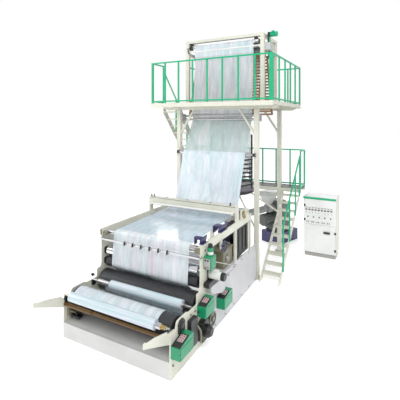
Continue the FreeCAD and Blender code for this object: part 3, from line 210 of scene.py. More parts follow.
def film(name, tint, alpha, zones=(), roughness=0.10, wrinkle=(1.0, 0.15, 0.15), tints=0.5):
    """Thin plastic film: see-through and glossy, with soft wrinkles and faint teal, lilac and rose streaks.

    zones: (ranges, tint, alpha) for stretches painted lighter or darker than the rest, as painted light and
    shade."""
    mat, tree, bsdf = new_material(name)
    bsdf.inputs["Specular IOR Level"].default_value = 0.8
    bsdf.inputs["Coat Weight"].default_value = 0.4
    bsdf.inputs["Coat Roughness"].default_value = 0.04
    tone, cover = tint, (alpha,) * 3
    for ranges, other, other_alpha in zones:
        here = inside(tree, **ranges)
        tone = mix_colour(tree, here, tone, other)
        cover = mix_colour(tree, here, cover, (other_alpha,) * 3)
    rainbow = ramp(tree, noise(tree, 5.0, 4.0, wrinkle, 0.55, 0.5), [
        (0.30, FILM_LILAC), (0.42, CLEAR), (0.52, FILM_TEAL), (0.60, CLEAR),
        (0.68, FILM_ROSE), (0.76, CLEAR)])
    tone = mix_colour(tree, tints, tone, rainbow, "MULTIPLY")
    tree.links.new(tone, bsdf.inputs["Base Color"])
    if alpha < 1.0:
        veil = ramp(tree, noise(tree, 8.0, 4.0, wrinkle, 0.6, 0.4), [(0.35, 0.82), (0.65, 1.18)])
        tree.links.new(mix_colour(tree, 1.0, cover, veil, "MULTIPLY"), bsdf.inputs["Alpha"])
    gloss = ramp(tree, noise(tree, 5.0, 3.0, wrinkle), [(0.3, roughness), (0.7, roughness * 2.4)])
    tree.links.new(gloss, bsdf.inputs["Roughness"])
    bump(tree, bsdf, noise(tree, 9.0, 5.0, wrinkle, 0.6, 0.8), 0.45, 0.006)
    return mat


# Places along the winder are distances behind its front edge; PLATE_X is its right plate's outer face
WINDER_FRONT_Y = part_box("winder_side_plates")[0][1]
PLATE_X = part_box("winder_side_plates")[1][0]


def wy(distance):
    return WINDER_FRONT_Y + distance


CREAM = (0.66, 0.66, 0.57)
GREEN = (0.004, 0.40, 0.19)
DEEP_GREEN = (0.006, 0.27, 0.12)
BLACK = (0.012, 0.012, 0.014)
NAVY = (0.018, 0.016, 0.10)
OLIVE = (0.20, 0.19, 0.12)
WHITE = (0.78, 0.79, 0.77)
DARK_GREY = (0.05, 0.05, 0.055)
cream = paint("cream_paint", CREAM, 0.38)
green = paint("green_paint", GREEN, 0.32)
pale = paint("pale_paint", (0.56, 0.56, 0.58), 0.42)
front_pale = paint("front_panel_paint", (0.60, 0.60, 0.59), 0.42)
white = paint("white_paint", WHITE, 0.4)
dark = paint("dark_paint", BLACK, 0.4)
navy = paint("navy_paint", NAVY, 0.3)
olive = paint("olive_paint", OLIVE, 0.45)
box_green = paint("box_green_paint", DEEP_GREEN, 0.3)
red = paint("red_button", (0.55, 0.02, 0.02), 0.3)
label_grey = paint("grey_plate", (0.42, 0.42, 0.42), 0.35)
steel = metal("steel", (0.62, 0.62, 0.63), 0.22)
chrome = metal("chrome", (0.82, 0.83, 0.84), 0.10)
dull_steel = metal("dull_steel", (0.32, 0.31, 0.30), 0.38)
brass = metal("brass", (0.55, 0.42, 0.18), 0.3)
brown = metal("brown_steel", (0.16, 0.10, 0.05), 0.4)
black_rubber = rubber("black_rubber", (0.018, 0.019, 0.022))
slats = paint("slat_wood", (0.36, 0.21, 0.11), 0.5)

# Zones of several-coloured nodes: ranges along the axes, in metres
MOTOR_Z = (0.957, 1.13)
drives = paint("side_drive_paint", BLACK, 0.4, zones=(
    ({"x": (PLATE_X, 1.6), "y": (wy(1.05), wy(1.25)), "z": MOTOR_Z}, WHITE),
    ({"x": (1.285, 1.5), "z": MOTOR_Z}, BLACK),
    ({"y": (wy(1.0), wy(1.26)), "z": (0.19, 0.45)}, (0.16, 0.16, 0.13))))
top_drive = paint("top_drive_paint", GREEN, 0.35, zones=(
    ({"x": (1.145, 1.165)}, BLACK), ({"x": (1.10, 1.145)}, BLACK),
    ({"z": (5.20, 5.41)}, (0.50, 0.52, 0.52)), ({"z": (5.0, 5.20)}, DARK_GREY),
    ({"z": (4.27, 5.05)}, BLACK), ({"z": (4.0, 4.27)}, (0.5, 0.5, 0.5))))
DOOR_FACE_Y = 0.983
DOOR_WHITE = (0.80, 0.81, 0.80)
IN_FRONT_OF_DOOR = (0.9, DOOR_FACE_Y - 0.0006)
# Painted shade: the cabinet's right side, from x 2.4645, is painted a darker, yellower tone; the other zones
# are the green roof strip and a darker band at the bottom.
cabinet = paint("cabinet_paint", DOOR_WHITE, 0.40, zones=(
    ({"y": (0.9, 0.9718), "z": (1.5005, 1.6)}, GREEN), ({"x": (2.4645, 2.6)}, (0.56, 0.56, 0.46)),
    ({"z": (-0.01, 0.10)}, (0.36, 0.36, 0.33))))
instruments = paint("instrument_paint", DOOR_WHITE, 0.40, zones=(
    ({"y": IN_FRONT_OF_DOOR}, BLACK),
    ({"y": (0.9, DOOR_FACE_Y - 0.0092), "z": (1.235, 1.275)}, (0.72, 0.70, 0.66)),
    ({"y": IN_FRONT_OF_DOOR, "z": (1.13, 1.16)}, (0.10, 0.10, 0.12)),
    ({"y": IN_FRONT_OF_DOOR, "z": (0.88, 0.93)}, (0.04, 0.04, 0.05))))
air_ring = paint("air_ring_paint", (0.02, 0.02, 0.024), 0.35, zones=(
    ({"z": (1.788, 1.9)}, (0.16, 0.14, 0.19)),))
barrel = paint("extruder_paint", (0.30, 0.31, 0.31), 0.35, zones=(
    ({"z": (1.135, 1.6)}, (0.60, 0.62, 0.60)), ({"z": (1.499, 1.6)}, WHITE)))
extruder_drive = paint("extruder_drive_paint", (0.09, 0.10, 0.09), 0.4, zones=(
    ({"z": (0.92, 1.3)}, (0.14, 0.16, 0.15)),))
blower = paint("blower_paint", (0.014, 0.013, 0.03), 0.35, zones=(
    ({"x": (0.80, 1.0), "z": (0.86, 1.12)}, NAVY), ({"z": (-0.01, 0.70)}, OLIVE)))
platform = paint("platform_sheet", CREAM, 0.45, zones=(({"z": (1.7, 1.7605)}, DARK_GREY),))

# Painted light and shade on one film: the web's zones give a darker blue shade on the slope back to the cross
# beam, lighter stretches in front of the winder and low in the tower, a darker grey-teal stretch above that
# and a lilac-grey one near the top.
SLOPE_SHADE_TINT = (0.50, 0.58, 0.67)
web_film = film("web_film", (0.70, 0.75, 0.80), 0.75, (
    ({"y": (wy(1.06), wy(3.02)), "z": (1.46, 1.8)}, SLOPE_SHADE_TINT, 0.86),
    ({"y": (wy(0.8), wy(1.06)), "z": (0.9, 1.6)}, (0.78, 0.78, 0.82), 0.80),
    ({"z": (1.75, 2.83)}, (0.76, 0.81, 0.88), 0.72),
    ({"z": (2.83, 3.6)}, (0.55, 0.62, 0.62), 0.62),
    ({"z": (3.6, 5.2)}, (0.72, 0.71, 0.76), 0.60)))
bubble_film = film("bubble_film", (0.70, 0.74, 0.78), 0.42)
roll_film = film("roll_film", (0.62, 0.66, 0.72), 1.0, wrinkle=(0.12, 3.0, 3.0), roughness=0.07, tints=0.75)

looks = {
    cream: ["winder_side_plates", "tower_posts", "platform_beams_x", "platform_beams_y", "knee_braces",
            "top_frame_uprights", "top_frame_beams", "stair_stringers", "stair_treads", "unload_arms",
            "take_up_rails", "cross_beam", "wheel_plate"],
    platform: ["platform_floors"],
    green: ["upper_rail_front", "upper_rail_right", "upper_rail_rear", "upper_rail_left", "mid_rails",
            "stair_handrails"],
    box_green: ["drive_boxes"],
    top_drive: ["top_drive"],
    pale: ["base_panels", "base_deck", "belt_guard"],
    front_pale: ["front_panel", "tray_panel"],
    black_rubber: ["winding_drum_front", "winding_drum_rear", "nip_rubber_roller", "nip_roller_rear"],
    steel: ["winding_shaft_front", "winding_shaft_rear", "top_guide_roller", "turn_roller", "idler_roller",
            "nip_roller_front", "slitter_bar", "guide_bars"],
    chrome: ["nip_steel_roller", "tower_top_roller"],
    dull_steel: ["die_head"],
    dark: ["bearing_blocks", "bubble_cage"],
    drives: ["side_drives"],
    air_ring: ["air_ring"],
    barrel: ["extruder_barrel"],
    extruder_drive: ["extruder_drive"],
    blower: ["air_blower"],
    navy: ["hand_wheel", "extruder_base"],
    brown: ["cross_tubes"],
    slats: ["collapsing_boards"],
    cabinet: ["cabinet_body"],
    instruments: ["cabinet_lower_door", "cabinet_instrument_door"],
    web_film: ["film_web"],
    bubble_film: ["film_bubble"],
    roll_film: ["film_roll_front", "film_roll_rear"],
}
for mat, names in looks.items():
    for name in names:
        cad[name].data.materials.clear()
        cad[name].data.materials.append(mat)


# Mesh helpers: each adds one closed form to a mesh under way
def plate(maker, low, high, edge=0.003):
    """Box with rounded edges between two corners."""
    low, high = Vector(low), Vector(high)
    verts = bmesh.ops.create_cube(maker, size=1.0)["verts"]
    for vert in verts:
        vert.co = Vector(low[i] + (vert.co[i] + 0.5) * (high[i] - low[i]) for i in range(3))
    edges = list({e for vert in verts for e in vert.link_edges})
    bmesh.ops.bevel(maker, geom=edges, offset=edge, segments=2, profile=0.5, affect="EDGES")


def turned_form(maker, start, axis, profile, sides=24):
    """Solid of revolution about a line from start; profile lists (distance along the line, radius)."""
    direction = Vector(axis).normalized()
    across = direction.orthogonal().normalized()
    other = direction.cross(across)
    rings = []
    for along, r in profile:
        centre = Vector(start) + direction * along
        rings.append([maker.verts.new(centre + (across * math.cos(a) + other * math.sin(a)) * r)
                      for a in (2 * math.pi * k / sides for k in range(sides))])
    for low, high in zip(rings[:-1], rings[1:]):
        for k in range(sides):
            maker.faces.new((low[k], low[(k + 1) % sides], high[(k + 1) % sides], high[k]))
    maker.faces.new(rings[0][::-1])
    maker.faces.new(rings[-1])


def rod(maker, start, end, r, sides=20):
    """Round bar with chamfered ends."""
    run = Vector(end) - Vector(start)
    chamfer = r * 0.2
    turned_form(maker, start, run, [(0, r * 0.8), (chamfer, r), (run.length - chamfer, r),
                                    (run.length, r * 0.8)], sides)


def bolt(maker, place, axis, r=0.011):
    """Washer and hexagon head."""
    turned_form(maker, place, axis, [(0, r * 1.7), (r * 0.3, r * 1.7), (r * 0.3, r * 1.6)], 16)
    turned_form(maker, Vector(place) + Vector(axis) * r * 0.25, axis,
                [(0, r), (r * 1.0, r), (r * 1.15, r * 0.86)], 6)


def slab(maker, outline, x0, x1, edge=0.002):
    """Plate of a (Y, Z) outline between two X positions, with bevelled edges."""
    near = [maker.verts.new((x0, y, z)) for y, z in outline]
    far = [maker.verts.new((x1, y, z)) for y, z in outline]
    faces = [maker.faces.new(near), maker.faces.new(far[::-1])]
    count = len(outline)
    for k in range(count):
        faces.append(maker.faces.new((near[k], far[k], far[(k + 1) % count], near[(k + 1) % count])))
    edges = list({e for face in faces for e in face.edges})
    bmesh.ops.bevel(maker, geom=edges, offset=edge, segments=2, profile=0.5, affect="EDGES")


def pipe(maker, points, r, sides=12):
    """Bent tube through points, with smooth bends."""
    path = [Vector(p) for p in points]
    smooth = [path[0]]
    for a, b, c in zip(path[:-2], path[1:-1], path[2:]):
        reach = min((a - b).length, (c - b).length) * 0.4
        start, end = b + (a - b).normalized() * reach, b + (c - b).normalized() * reach
        for t in (0.0, 0.25, 0.5, 0.75, 1.0):
            smooth.append(start.lerp(b, t).lerp(b.lerp(end, t), t))
    smooth.append(path[-1])
    rings = []
    across = (smooth[1] - smooth[0]).orthogonal().normalized()
    for i, point in enumerate(smooth):
        ahead = (smooth[min(i + 1, len(smooth) - 1)] - smooth[max(i - 1, 0)]).normalized()
        across = (across - ahead * across.dot(ahead)).normalized()
        other = ahead.cross(across)
        rings.append([maker.verts.new(point + (across * math.cos(a) + other * math.sin(a)) * r)
                      for a in (2 * math.pi * k / sides for k in range(sides))])
    for low, high in zip(rings[:-1], rings[1:]):
        for k in range(sides):
            maker.faces.new((low[k], low[(k + 1) % sides], high[(k + 1) % sides], high[k]))
    maker.faces.new(rings[0][::-1])
    maker.faces.new(rings[-1])


def smooth_faces(mesh, degrees=35.0):
    mesh.polygons.foreach_set("use_smooth", [True] * len(mesh.polygons))
    mesh.set_sharp_from_angle(angle=math.radians(degrees))


def piece(name, material, build, body="line"):
    """Make one object that a function fills, riding on a body."""
    maker = bmesh.new()
    build(maker)
    bmesh.ops.recalc_face_normals(maker, faces=maker.faces[:])
    mesh = bpy.data.meshes.new(name)
    maker.to_mesh(mesh)
    maker.free()
    smooth_faces(mesh)
    mesh.materials.append(material)
    made = bpy.data.objects.new(name, mesh)
    bpy.context.collection.objects.link(made)
    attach(made, body)


# Control boxes on the winder's right side: (front, back, bottom, top, width)
BOXES = ((0.0, 0.370, 0.300, 0.530, 0.15),
         (0.747, 1.056, 0.512, 0.742, 0.15),
         (1.440, 1.790, 0.322, 0.562, 0.15))
BOX_SLOPE = 0.055
SLOPE_SHARE = 0.7


def slope_points(box, share_from, share_to, thickness):
    """Outline of a sheet on a box's sloping top, between two shares of its length."""
    front, back, _, top, _ = box
    low = Vector((wy(front), top - BOX_SLOPE))
    high = Vector((wy(front + SLOPE_SHARE * (back - front)), top))
    up = Vector((low.y - high.y, high.x - low.x)).normalized() * thickness
    a, b = low.lerp(high, share_from), low.lerp(high, share_to)
    return [tuple(a), tuple(b), tuple(b + up), tuple(a + up)]


def top_slabs(maker, share_from, share_to, thickness, inset):
    """A thin slab on each box's sloping top, inset from the box's sides."""
    for box in BOXES:
        slab(maker, slope_points(box, share_from, share_to, thickness),
             PLATE_X + inset, PLATE_X + box[4] - inset, 0.001)


def box_top_sheets(maker):
    top_slabs(maker, 0.03, 0.99, 0.004, 0.006)


def box_top_plates(maker):
    top_slabs(maker, 0.42, 0.92, 0.007, 0.03)


def box_buttons(maker):
    for box in BOXES:
        for share in (0.50, 0.66, 0.82):
            for across in (0.055, 0.095):
                outline = slope_points(box, share, share + 0.01, 0.006)
                foot = Vector((PLATE_X + across, *outline[0]))
                axis = Vector((0.0, outline[3][0] - outline[0][0], outline[3][1] - outline[0][1]))
                turned_form(maker, foot, axis, [(0, 0.011), (0.009, 0.011), (0.012, 0.008)], 16)


piece("box_top_sheets", dark, box_top_sheets)
piece("box_top_plates", label_grey, box_top_plates)
piece("box_buttons", red, box_buttons)


# Upper drive box: grey front plate with a lamp, knobs, and a finned dark cap on the white collar
UPPER_BOX = {"front": 0.960, "low": 1.170, "high": 1.374, "width": 0.13}
COLLAR_X, COLLAR_Y = PLATE_X + 0.065, wy(1.080)
COLLAR_TOP_Z = 1.50
COLLAR_BAND_Z = 1.388
COLLAR_R = 0.048
UPPER_PLATE_T = 0.006


def upper_box_plate(maker):
    front = wy(UPPER_BOX["front"])
    plate(maker, (PLATE_X + 0.010, front - UPPER_PLATE_T, UPPER_BOX["low"] + 0.015),
          (PLATE_X + UPPER_BOX["width"] - 0.012, front, UPPER_BOX["high"] - 0.025), 0.002)


def upper_box_knobs(maker):
    front = wy(UPPER_BOX["front"]) - 0.005
    for x, z, r in ((0.040, 1.325, 0.014), (0.085, 1.325, 0.014), (0.040, 1.205, 0.010)):
        turned_form(maker, (PLATE_X + x, front, z), (0, -1, 0), [(0, r), (0.012, r), (0.016, r * 0.7)])
    turned_form(maker, (PLATE_X + 0.030, wy(BOXES[1][0]), 0.600), (0, -1, 0),
                [(0, 0.012), (0.004, 0.012), (0.004, 0.016), (0.024, 0.015), (0.028, 0.011)])


def collar_cap(maker):
    turned_form(maker, (COLLAR_X, COLLAR_Y, COLLAR_TOP_Z), (0, 0, 1),
                [(0, 0.040), (0.008, 0.040), (0.008, 0.034), (0.050, 0.034), (0.060, 0.024)])
    for k in range(4):
        fin_z = COLLAR_TOP_Z + 0.014 + 0.010 * k
        turned_form(maker, (COLLAR_X, COLLAR_Y, fin_z), (0, 0, 1), [(0, 0.038), (0.004, 0.038)])


def collar_band(maker):
    r = COLLAR_R + 0.002
    turned_form(maker, (COLLAR_X, COLLAR_Y, COLLAR_BAND_Z), (0, 0, 1), [(0, r), (0.045, r)])


def upper_box_lamp(maker):
    turned_form(maker, (PLATE_X + 0.085, wy(UPPER_BOX["front"]) - 0.005, 1.215), (0, -1, 0),
                [(0, 0.012), (0.008, 0.012), (0.012, 0.008)])


piece("upper_box_plate", label_grey, upper_box_plate)
piece("box_knobs", dark, upper_box_knobs)
piece("collar_cap", dark, collar_cap)
piece("collar_band", white, collar_band)
piece("upper_box_lamp", red, upper_box_lamp)


# Bearing housings, bolts and knobs on the outer faces of the winder's side plates.
# Each place is (distance behind the front, height), and a housing adds its half width.
DRUMS = ((0.265, 0.545, 0.060), (0.905, 0.620, 0.060))
NIPS = ((0.985, 0.940, 0.040), (0.990, 1.130, 0.040))
RIGHT_HOUSING = (0.268, 0.632, 0.085)
PLATE_BOLTS = ((0.06, 0.18), (0.06, 0.27), (0.55, 0.64), (0.68, 0.64), (1.20, 0.98), (1.20, 1.18),
               (1.20, 1.38), (0.90, 1.38), (0.52, 0.12), (1.20, 0.12))
PANEL_BOLT_DS = (1.40, 1.80, 2.20, 2.60, 3.00, 3.40)
PANEL_BOLT_ZS = (0.06, 0.77)
LEFT_KNOBS = ((0.995, 1.075), (0.712, 0.743), (1.75, 1.50))
HOUSING_T = 0.024


def pillow_block(maker, side, d, z, half):
    """Housing on a side plate's outer face with a round cap."""
    x0 = side * PLATE_X
    slab(maker, [(wy(d - half), z - half), (wy(d - half), z + half * 0.5), (wy(d - half * 0.5), z + half),
                 (wy(d + half * 0.5), z + half), (wy(d + half), z + half * 0.5), (wy(d + half), z - half)],
         *sorted((x0, x0 + side * HOUSING_T)), 0.003)
    turned_form(maker, (x0 + side * 0.020, wy(d), z), (side, 0, 0),
                [(0, half * 0.72), (0.016, half * 0.72), (0.022, half * 0.6), (0.026, half * 0.25)])


def outer_housings(maker):
    pillow_block(maker, 1, *RIGHT_HOUSING)
    for d, z, half in DRUMS + NIPS:
        pillow_block(maker, -1, d, z, half)


def plate_bolts(maker):
    for side in (-1, 1):
        for d, z in PLATE_BOLTS:
            bolt(maker, (side * PLATE_X, wy(d), z), (side, 0, 0))
        for d in PANEL_BOLT_DS:
            for z in PANEL_BOLT_ZS:
                bolt(maker, (side * PLATE_X, wy(d), z), (side, 0, 0), 0.009)


def left_knobs(maker):
    """Black adjusting knobs that stand out of the left side."""
    for d, z in LEFT_KNOBS:
        turned_form(maker, (-PLATE_X, wy(d), z), (-1, 0, 0),
                    [(0, 0.010), (0.045, 0.010), (0.045, 0.028), (0.060, 0.030), (0.078, 0.022)])


piece("bearing_housings_outer", dark, outer_housings)
piece("side_plate_bolts", dull_steel, plate_bolts)
piece("adjusting_knobs", dark, left_knobs)


# Rods, conduit and pipe beside the right plate; the link rods run between three pins
ROD_X = PLATE_X + 0.06
PIN_UPPER, PIN_REAR, PIN_LOWER = (1.30, 1.18), (2.20, 0.80), (1.89, 0.735)


def right_rods(maker):
    upper, rear, lower = ((wy(d), z) for d, z in (PIN_UPPER, PIN_REAR, PIN_LOWER))
    rod(maker, (ROD_X, *upper), (ROD_X, *rear), 0.007)
    rod(maker, (ROD_X, *rear), (ROD_X - 0.05, *lower), 0.006)
    for d, z in (PIN_UPPER, PIN_REAR, PIN_LOWER):
        turned_form(maker, (PLATE_X, wy(d), z), (1, 0, 0), [(0, 0.014), (0.060, 0.014), (0.066, 0.010)])


def conduit(maker):
    """Rigid conduit from the upper box down to the box behind the front drum, clipped to the plate."""
    x = PLATE_X + 0.016
    pipe(maker, [(x, wy(1.085), 1.180), (x, wy(1.085), 1.00),
                 (x, wy(1.115), 0.93), (x, wy(1.12), 0.76)], 0.010)
    plate(maker, (PLATE_X, wy(1.075), 0.745), (PLATE_X + 0.05, wy(1.165), 0.80), 0.004)


def lubricant_pipe(maker):
    """Rigid bent pipe low on the side."""
    x = PLATE_X + 0.05
    pipe(maker, [(x, wy(0.64), 0.46), (x + 0.04, wy(0.70), 0.36),
                 (x + 0.04, wy(0.72), 0.22), (x, wy(0.78), 0.12)], 0.017)


piece("link_rods", steel, right_rods)
piece("conduit", dark, conduit)
piece("lubricant_pipe", olive, lubricant_pipe)


# Navy edge guides beside the web, on the right rail
RAIL_TOP_Z = 1.56


def edge_guides(maker):
    for d, reach in ((0.93, 0.26), (1.62, 0.42)):
        slab(maker, [(wy(d), RAIL_TOP_Z), (wy(d + 0.04), RAIL_TOP_Z + 0.09),
                     (wy(d + reach), RAIL_TOP_Z + 0.10), (wy(d + reach * 0.8), RAIL_TOP_Z)],
             0.985, 1.005, 0.003)
        front, back, top = wy(d + 0.06), wy(d + reach * 0.55), RAIL_TOP_Z + 0.095
        plate(maker, (0.88, front, RAIL_TOP_Z + 0.055), (1.0, back, top), 0.004)
        plate(maker, (0.86, front, RAIL_TOP_Z - 0.03), (0.88, back, top), 0.003)
        plate(maker, (1.0, wy(d + 0.02), RAIL_TOP_Z), (1.046, wy(d + reach * 0.7), RAIL_TOP_Z + 0.012), 0.002)
    for k in range(3):
        turned_form(maker, (0.985, wy(1.74 + 0.09 * k), RAIL_TOP_Z + 0.05), (-1, 0, 0),
                    [(0, 0.018), (0.03, 0.018), (0.034, 0.012)])


def side_gears(maker):
    """Brass gears at the cross beam's right end, with teeth."""
    for d, z, r, teeth in ((2.660, 1.690, 0.046, 18), (2.700, 1.600, 0.034, 14)):
        turned_form(maker, (PLATE_X, wy(d), z), (1, 0, 0),
                    [(0, r * 0.3), (0.020, r * 0.3), (0.020, r), (0.040, r),
                     (0.040, r * 0.35), (0.052, r * 0.3)], 28)
        tooth_at = r + 0.001
        for k in range(teeth):
            a = 2 * math.pi * k / teeth
            foot = (PLATE_X + 0.021, wy(d + tooth_at * math.cos(a)), z + tooth_at * math.sin(a))
            turned_form(maker, foot, (1, 0, 0), [(0, 0.0045), (0.018, 0.0045)], 6)


def gear_bracket(maker):
    plate(maker, (PLATE_X - 0.03, wy(2.60), RAIL_TOP_Z), (PLATE_X, wy(2.75), 1.735), 0.003)
    for z in (1.63, 1.70):
        bolt(maker, (PLATE_X, wy(2.615), z), (1, 0, 0), 0.007)


def interior_shade_sheet(maker):
    """Dark sheet with ribs behind the right rail's legs: painted shade standing in for the shadowed open
    inside of the base.
    """
    slab(maker, [(wy(2.40), 1.425), (wy(3.085), 1.425), (wy(3.085), 0.825),
                 (wy(2.50), 0.825), (wy(2.36), 1.10)], 0.985, 1.005, 0.003)
    for d in (2.55, 2.75, 2.95):
        plate(maker, (1.005, wy(d), 0.90), (1.018, wy(d + 0.02), 1.36), 0.002)


def olive_box(maker):
    plate(maker, (0.78, wy(1.86), 0.82), (0.99, wy(2.28), 1.13), 0.008)
    plate(maker, (0.70, wy(1.82), 1.13), (1.0, wy(2.30), 1.155), 0.006)


def olive_box_trim(maker):
    """Shaft and gear housing that stand on the box behind the hand wheel."""
    turned_form(maker, (0.99, wy(2.02), 0.98), (1, 0, 0),
                [(0, 0.075), (0.012, 0.075), (0.016, 0.060), (0.030, 0.055)])
    turned_form(maker, (0.80, wy(2.10), 1.155), (0, 0, 1),
                [(0, 0.07), (0.03, 0.07), (0.05, 0.05), (0.11, 0.045)])
    rod(maker, (0.60, wy(2.10), 1.24), (1.0, wy(2.10), 1.24), 0.018)


piece("edge_guides", navy, edge_guides)
piece("side_gears", brass, side_gears)
piece("gear_bracket", cream, gear_bracket)
# Painted shade: a dark ribbed sheet where the open base shows only shadow.
piece("interior_shade_panel", dark, interior_shade_sheet)
piece("take_up_gearbox", olive, olive_box)
piece("take_up_shafts", dull_steel, olive_box_trim)


# Cross beam: a roller in front of its lower edge, strips on its front face, clamps on top
BEAM_LOW, BEAM_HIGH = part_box("cross_beam")
BEAM_ROLLER_Z = 1.735
BEAM_ROLLER_HALF = 0.98
BEAM_STRIP_HALF = 1.02


def beam_trim(maker):
    y = BEAM_LOW[1] - 0.030
    rod(maker, (-BEAM_ROLLER_HALF, y, BEAM_ROLLER_Z), (BEAM_ROLLER_HALF, y, BEAM_ROLLER_Z), 0.022)
    for x in (-0.96, 0.96):
        plate(maker, (x - 0.012, y - 0.02, BEAM_ROLLER_Z - 0.03),
              (x + 0.012, BEAM_LOW[1] + 0.002, BEAM_ROLLER_Z + 0.03), 0.003)


def beam_strips(maker):
    for z in (1.722, 1.852):
        plate(maker, (-BEAM_STRIP_HALF, BEAM_LOW[1] - 0.004, z),
              (BEAM_STRIP_HALF, BEAM_LOW[1], z + 0.010), 0.001)


def beam_clamps(maker):
    for x in (-1.0, -0.93, 0.90):
        turned_form(maker, (x, BEAM_LOW[1] + 0.035, BEAM_HIGH[2]), (0, 0, 1),
                    [(0, 0.020), (0.012, 0.020), (0.012, 0.010), (0.035, 0.010),
                     (0.035, 0.018), (0.050, 0.016)])
    for x in (-0.60, -0.10, 0.45):
        turned_form(maker, (x, BEAM_LOW[1] + 0.055, BEAM_HIGH[2]), (0, 0, 1),
                    [(0, 0.012), (0.010, 0.012), (0.014, 0.008)])


piece("beam_roller", white, beam_trim)
piece("beam_strips", dull_steel, beam_strips)
piece("beam_clamps", dark, beam_clamps)


# Blades under the slitter bar's knife holders, and blocks at the rails' front ends
KNIFE_COUNT = 6
KNIFE_X0 = -0.45
KNIFE_PITCH = 0.18
KNIFE_Y = wy(0.865 - 0.030 - 0.014)


def knife_blades(maker):
    for k in range(KNIFE_COUNT):
        x = KNIFE_X0 + KNIFE_PITCH * k
        plate(maker, (x - 0.004, KNIFE_Y - 0.03, 1.345), (x + 0.004, KNIFE_Y, 1.405), 0.001)
        turned_form(maker, (x, KNIFE_Y - 0.001, 1.408), (0, -1, 0),
                    [(0, 0.009), (0.012, 0.009), (0.014, 0.006)])


def rail_ends(maker):
    for side in (-1, 1):
        x0, x1 = sorted((side * 1.012, side * 1.048))
        plate(maker, (x0, wy(0.835), 1.445), (x1, wy(0.851), 1.545), 0.003)
        x0, x1 = sorted((side * 0.93, side * 1.01))
        plate(maker, (x0, wy(0.87), 1.44), (x1, wy(0.93), 1.50), 0.004)


piece("knife_blades", dark, knife_blades)
piece("rail_end_blocks", olive, rail_ends)


# Left front corner: a bracket with a bent pipe, and a clamp
CORNER_X0 = -1.030
CORNER_X1 = -0.80


def left_corner(maker):
    plate(maker, (CORNER_X0, wy(0.06), 0.47), (CORNER_X1, wy(0.085), 0.52), 0.004)
    plate(maker, (CORNER_X0, wy(0.06), 0.33), (CORNER_X0 + 0.04, wy(0.34), 0.47), 0.004)
    pipe(maker, [(-0.99, wy(0.10), 0.40), (-0.94, wy(0.14), 0.37), (-0.90, wy(0.22), 0.32)], 0.014)


def left_clamp(maker):
    plate(maker, (-0.985, wy(0.10), 0.300), (CORNER_X1, wy(0.20), 0.335), 0.006)
    turned_form(maker, (-0.90, wy(0.15), 0.335), (0, 0, 1), [(0, 0.020), (0.025, 0.020), (0.030, 0.013)])


piece("left_corner_bracket", olive, left_corner)
piece("left_corner_clamp", dark, left_clamp)


# Chucks at the ends of the film rolls' shafts
CHUCK_X = 0.880


def roll_axis(name):
    low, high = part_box(name)
    return (low[1] + high[1]) / 2, (low[2] + high[2]) / 2


def chuck(maker, name, side, x, r):
    y, z = roll_axis(name)
    turned_form(maker, (x, y, z), (side, 0, 0),
                [(0, r), (0.014, r), (0.014, r * 0.8), (0.040, r * 0.72), (0.044, r * 0.6)])


def front_chucks(maker):
    chuck(maker, "film_roll_front", 1, CHUCK_X, 0.040)
    y, z = roll_axis("film_roll_front")
    turned_form(maker, (0.932, y, z), (1, 0, 0), [(0, 0.030), (0.025, 0.030), (0.030, 0.024)])
    turned_form(maker, (-1.016, y, z), (-1, 0, 0), [(0, 0.0185), (0.030, 0.0185), (0.034, 0.014)])


def rear_chucks(maker):
    for side in (1, -1):
        chuck(maker, "film_roll_rear", side, side * CHUCK_X, 0.036)


piece("roll_chucks_front", brass, front_chucks, "film_roll_front")
piece("roll_chucks_rear", dull_steel, rear_chucks, "film_roll_rear")


# Top frame: a thin dark rod under the front beam as painted shade along its lower edge, bearings with levers,
# a bar in front of the top roller
TOP_FRONT_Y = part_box("top_frame_uprights")[0][1]
BEAM_EDGE_SHADE_Z = 5.556
TENSION_BAR_Z = 5.345
TENSION_BAR_HALF = 0.974


def top_levers(maker):
    y = TOP_FRONT_Y + 0.02
    # Painted shade: a thin dark rod along the front beam's shaded lower edge.
    rod(maker, (-0.975, y + 0.03, BEAM_EDGE_SHADE_Z), (0.975, y + 0.03, BEAM_EDGE_SHADE_Z), 0.006)
    for x in (-0.90, 0.86):
        plate(maker, (x - 0.045, y, 5.500), (x + 0.045, y + 0.05, 5.548), 0.006)
        turned_form(maker, (x, y, 5.524), (0, -1, 0), [(0, 0.020), (0.014, 0.020), (0.018, 0.014)])
    pipe(maker, [(0.88, y + 0.02, 5.52), (0.93, y, 5.50), (0.965, y, 5.44), (0.955, y, 5.38)], 0.010)
    pipe(maker, [(-0.975, y + 0.03, 5.46), (-1.0, y - 0.025, 5.44),
                 (-0.985, y - 0.03, 5.35), (-0.96, y - 0.03, 5.30)], 0.014)


def top_blocks(maker):
    for z0, z1 in ((5.385, 5.405), (5.265, 5.295)):
        plate(maker, (0.80, TOP_FRONT_Y + 0.01, z0), (0.972, TOP_FRONT_Y + 0.08, z1), 0.004)


def top_bar(maker):
    """White tension bar across the web below the top roller."""
    y = TOP_FRONT_Y + 0.035
    rod(maker, (-TENSION_BAR_HALF, y, TENSION_BAR_Z), (TENSION_BAR_HALF, y, TENSION_BAR_Z), 0.020)


piece("top_levers", dark, top_levers)
piece("top_blocks", dark, top_blocks)
piece("top_tension_bar", white, top_bar)


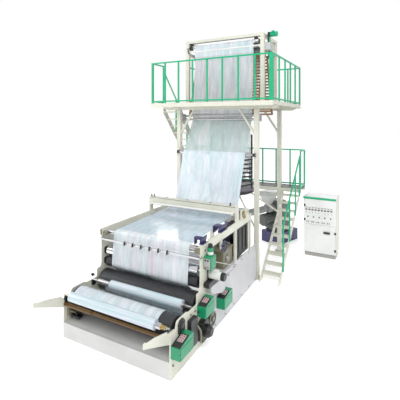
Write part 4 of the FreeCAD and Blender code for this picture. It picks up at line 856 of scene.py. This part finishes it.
# Stage: pale floor, soft studio light
floor_mesh = bpy.data.meshes.new("stage_floor")
floor_maker = bmesh.new()
bmesh.ops.create_grid(floor_maker, x_segments=1, y_segments=1, size=60.0)
floor_maker.to_mesh(floor_mesh)
floor_maker.free()
floor = bpy.data.objects.new("stage_floor", floor_mesh)
bpy.context.collection.objects.link(floor)
floor_mat, floor_tree, floor_bsdf = new_material("stage_floor")
floor_bsdf.inputs["Base Color"].default_value = (0.93, 0.93, 0.94, 1.0)
floor_bsdf.inputs["Roughness"].default_value = 0.7
floor_bsdf.inputs["Specular IOR Level"].default_value = 0.2
floor_bsdf.inputs["Emission Color"].default_value = (1.0, 1.0, 1.0, 1.0)
floor_bsdf.inputs["Emission Strength"].default_value = 0.35
floor_mesh.materials.append(floor_mat)


def studio_world():
    """White to the camera; for light and reflections, a bright ceiling, greyer walls and light strips."""
    world = bpy.data.worlds.new("studio")
    world.use_nodes = True
    tree = world.node_tree
    background = tree.nodes["Background"]
    coords = tree.nodes.new("ShaderNodeTexCoord")
    split = tree.nodes.new("ShaderNodeSeparateXYZ")
    tree.links.new(coords.outputs["Generated"], split.inputs["Vector"])
    # The node adds its third value, 0.5, so the direction's height runs from 0 to 1
    height = maths(tree, "MULTIPLY_ADD", split.outputs["Z"], 0.5)
    rise = ramp(tree, height, [(0.0, 0.75), (0.5, 0.55), (0.62, 0.72), (0.80, 0.95), (1.0, 1.0)])
    strips = tree.nodes.new("ShaderNodeTexWave")
    strips.inputs["Scale"].default_value = 1.1
    strips.inputs["Distortion"].default_value = 3.0
    tree.links.new(coords.outputs["Generated"], strips.inputs["Vector"])
    bands = ramp(tree, strips.outputs["Color"], [(0.4, 0.5), (0.75, 1.0)])
    lit = mix_colour(tree, 0.55, rise, bands, "MULTIPLY")
    eye = tree.nodes.new("ShaderNodeLightPath")
    seen = mix_colour(tree, eye.outputs["Is Camera Ray"], lit, (1.0, 1.0, 1.0))
    tree.links.new(seen, background.inputs["Color"])
    background.inputs["Strength"].default_value = 1.0
    bpy.context.scene.world = world


studio_world()


def area_light(name, place, target, size, power):
    data = bpy.data.lights.new(name, "AREA")
    data.shape = "RECTANGLE"
    data.size, data.size_y = size
    data.energy = power
    lamp = bpy.data.objects.new(name, data)
    lamp.location = place
    lamp.rotation_euler = (Vector(target) - Vector(place)).to_track_quat("-Z", "Y").to_euler()
    bpy.context.collection.objects.link(lamp)


area_light("key", (5.0, -8.0, 9.0), (0.0, -1.5, 1.5), (7.0, 7.0), 620.0)
area_light("fill", (-8.0, -6.0, 5.0), (0.0, -1.5, 2.0), (6.0, 5.0), 260.0)
area_light("back", (-3.0, 7.0, 8.0), (0.0, 0.0, 2.0), (8.0, 5.0), 520.0)
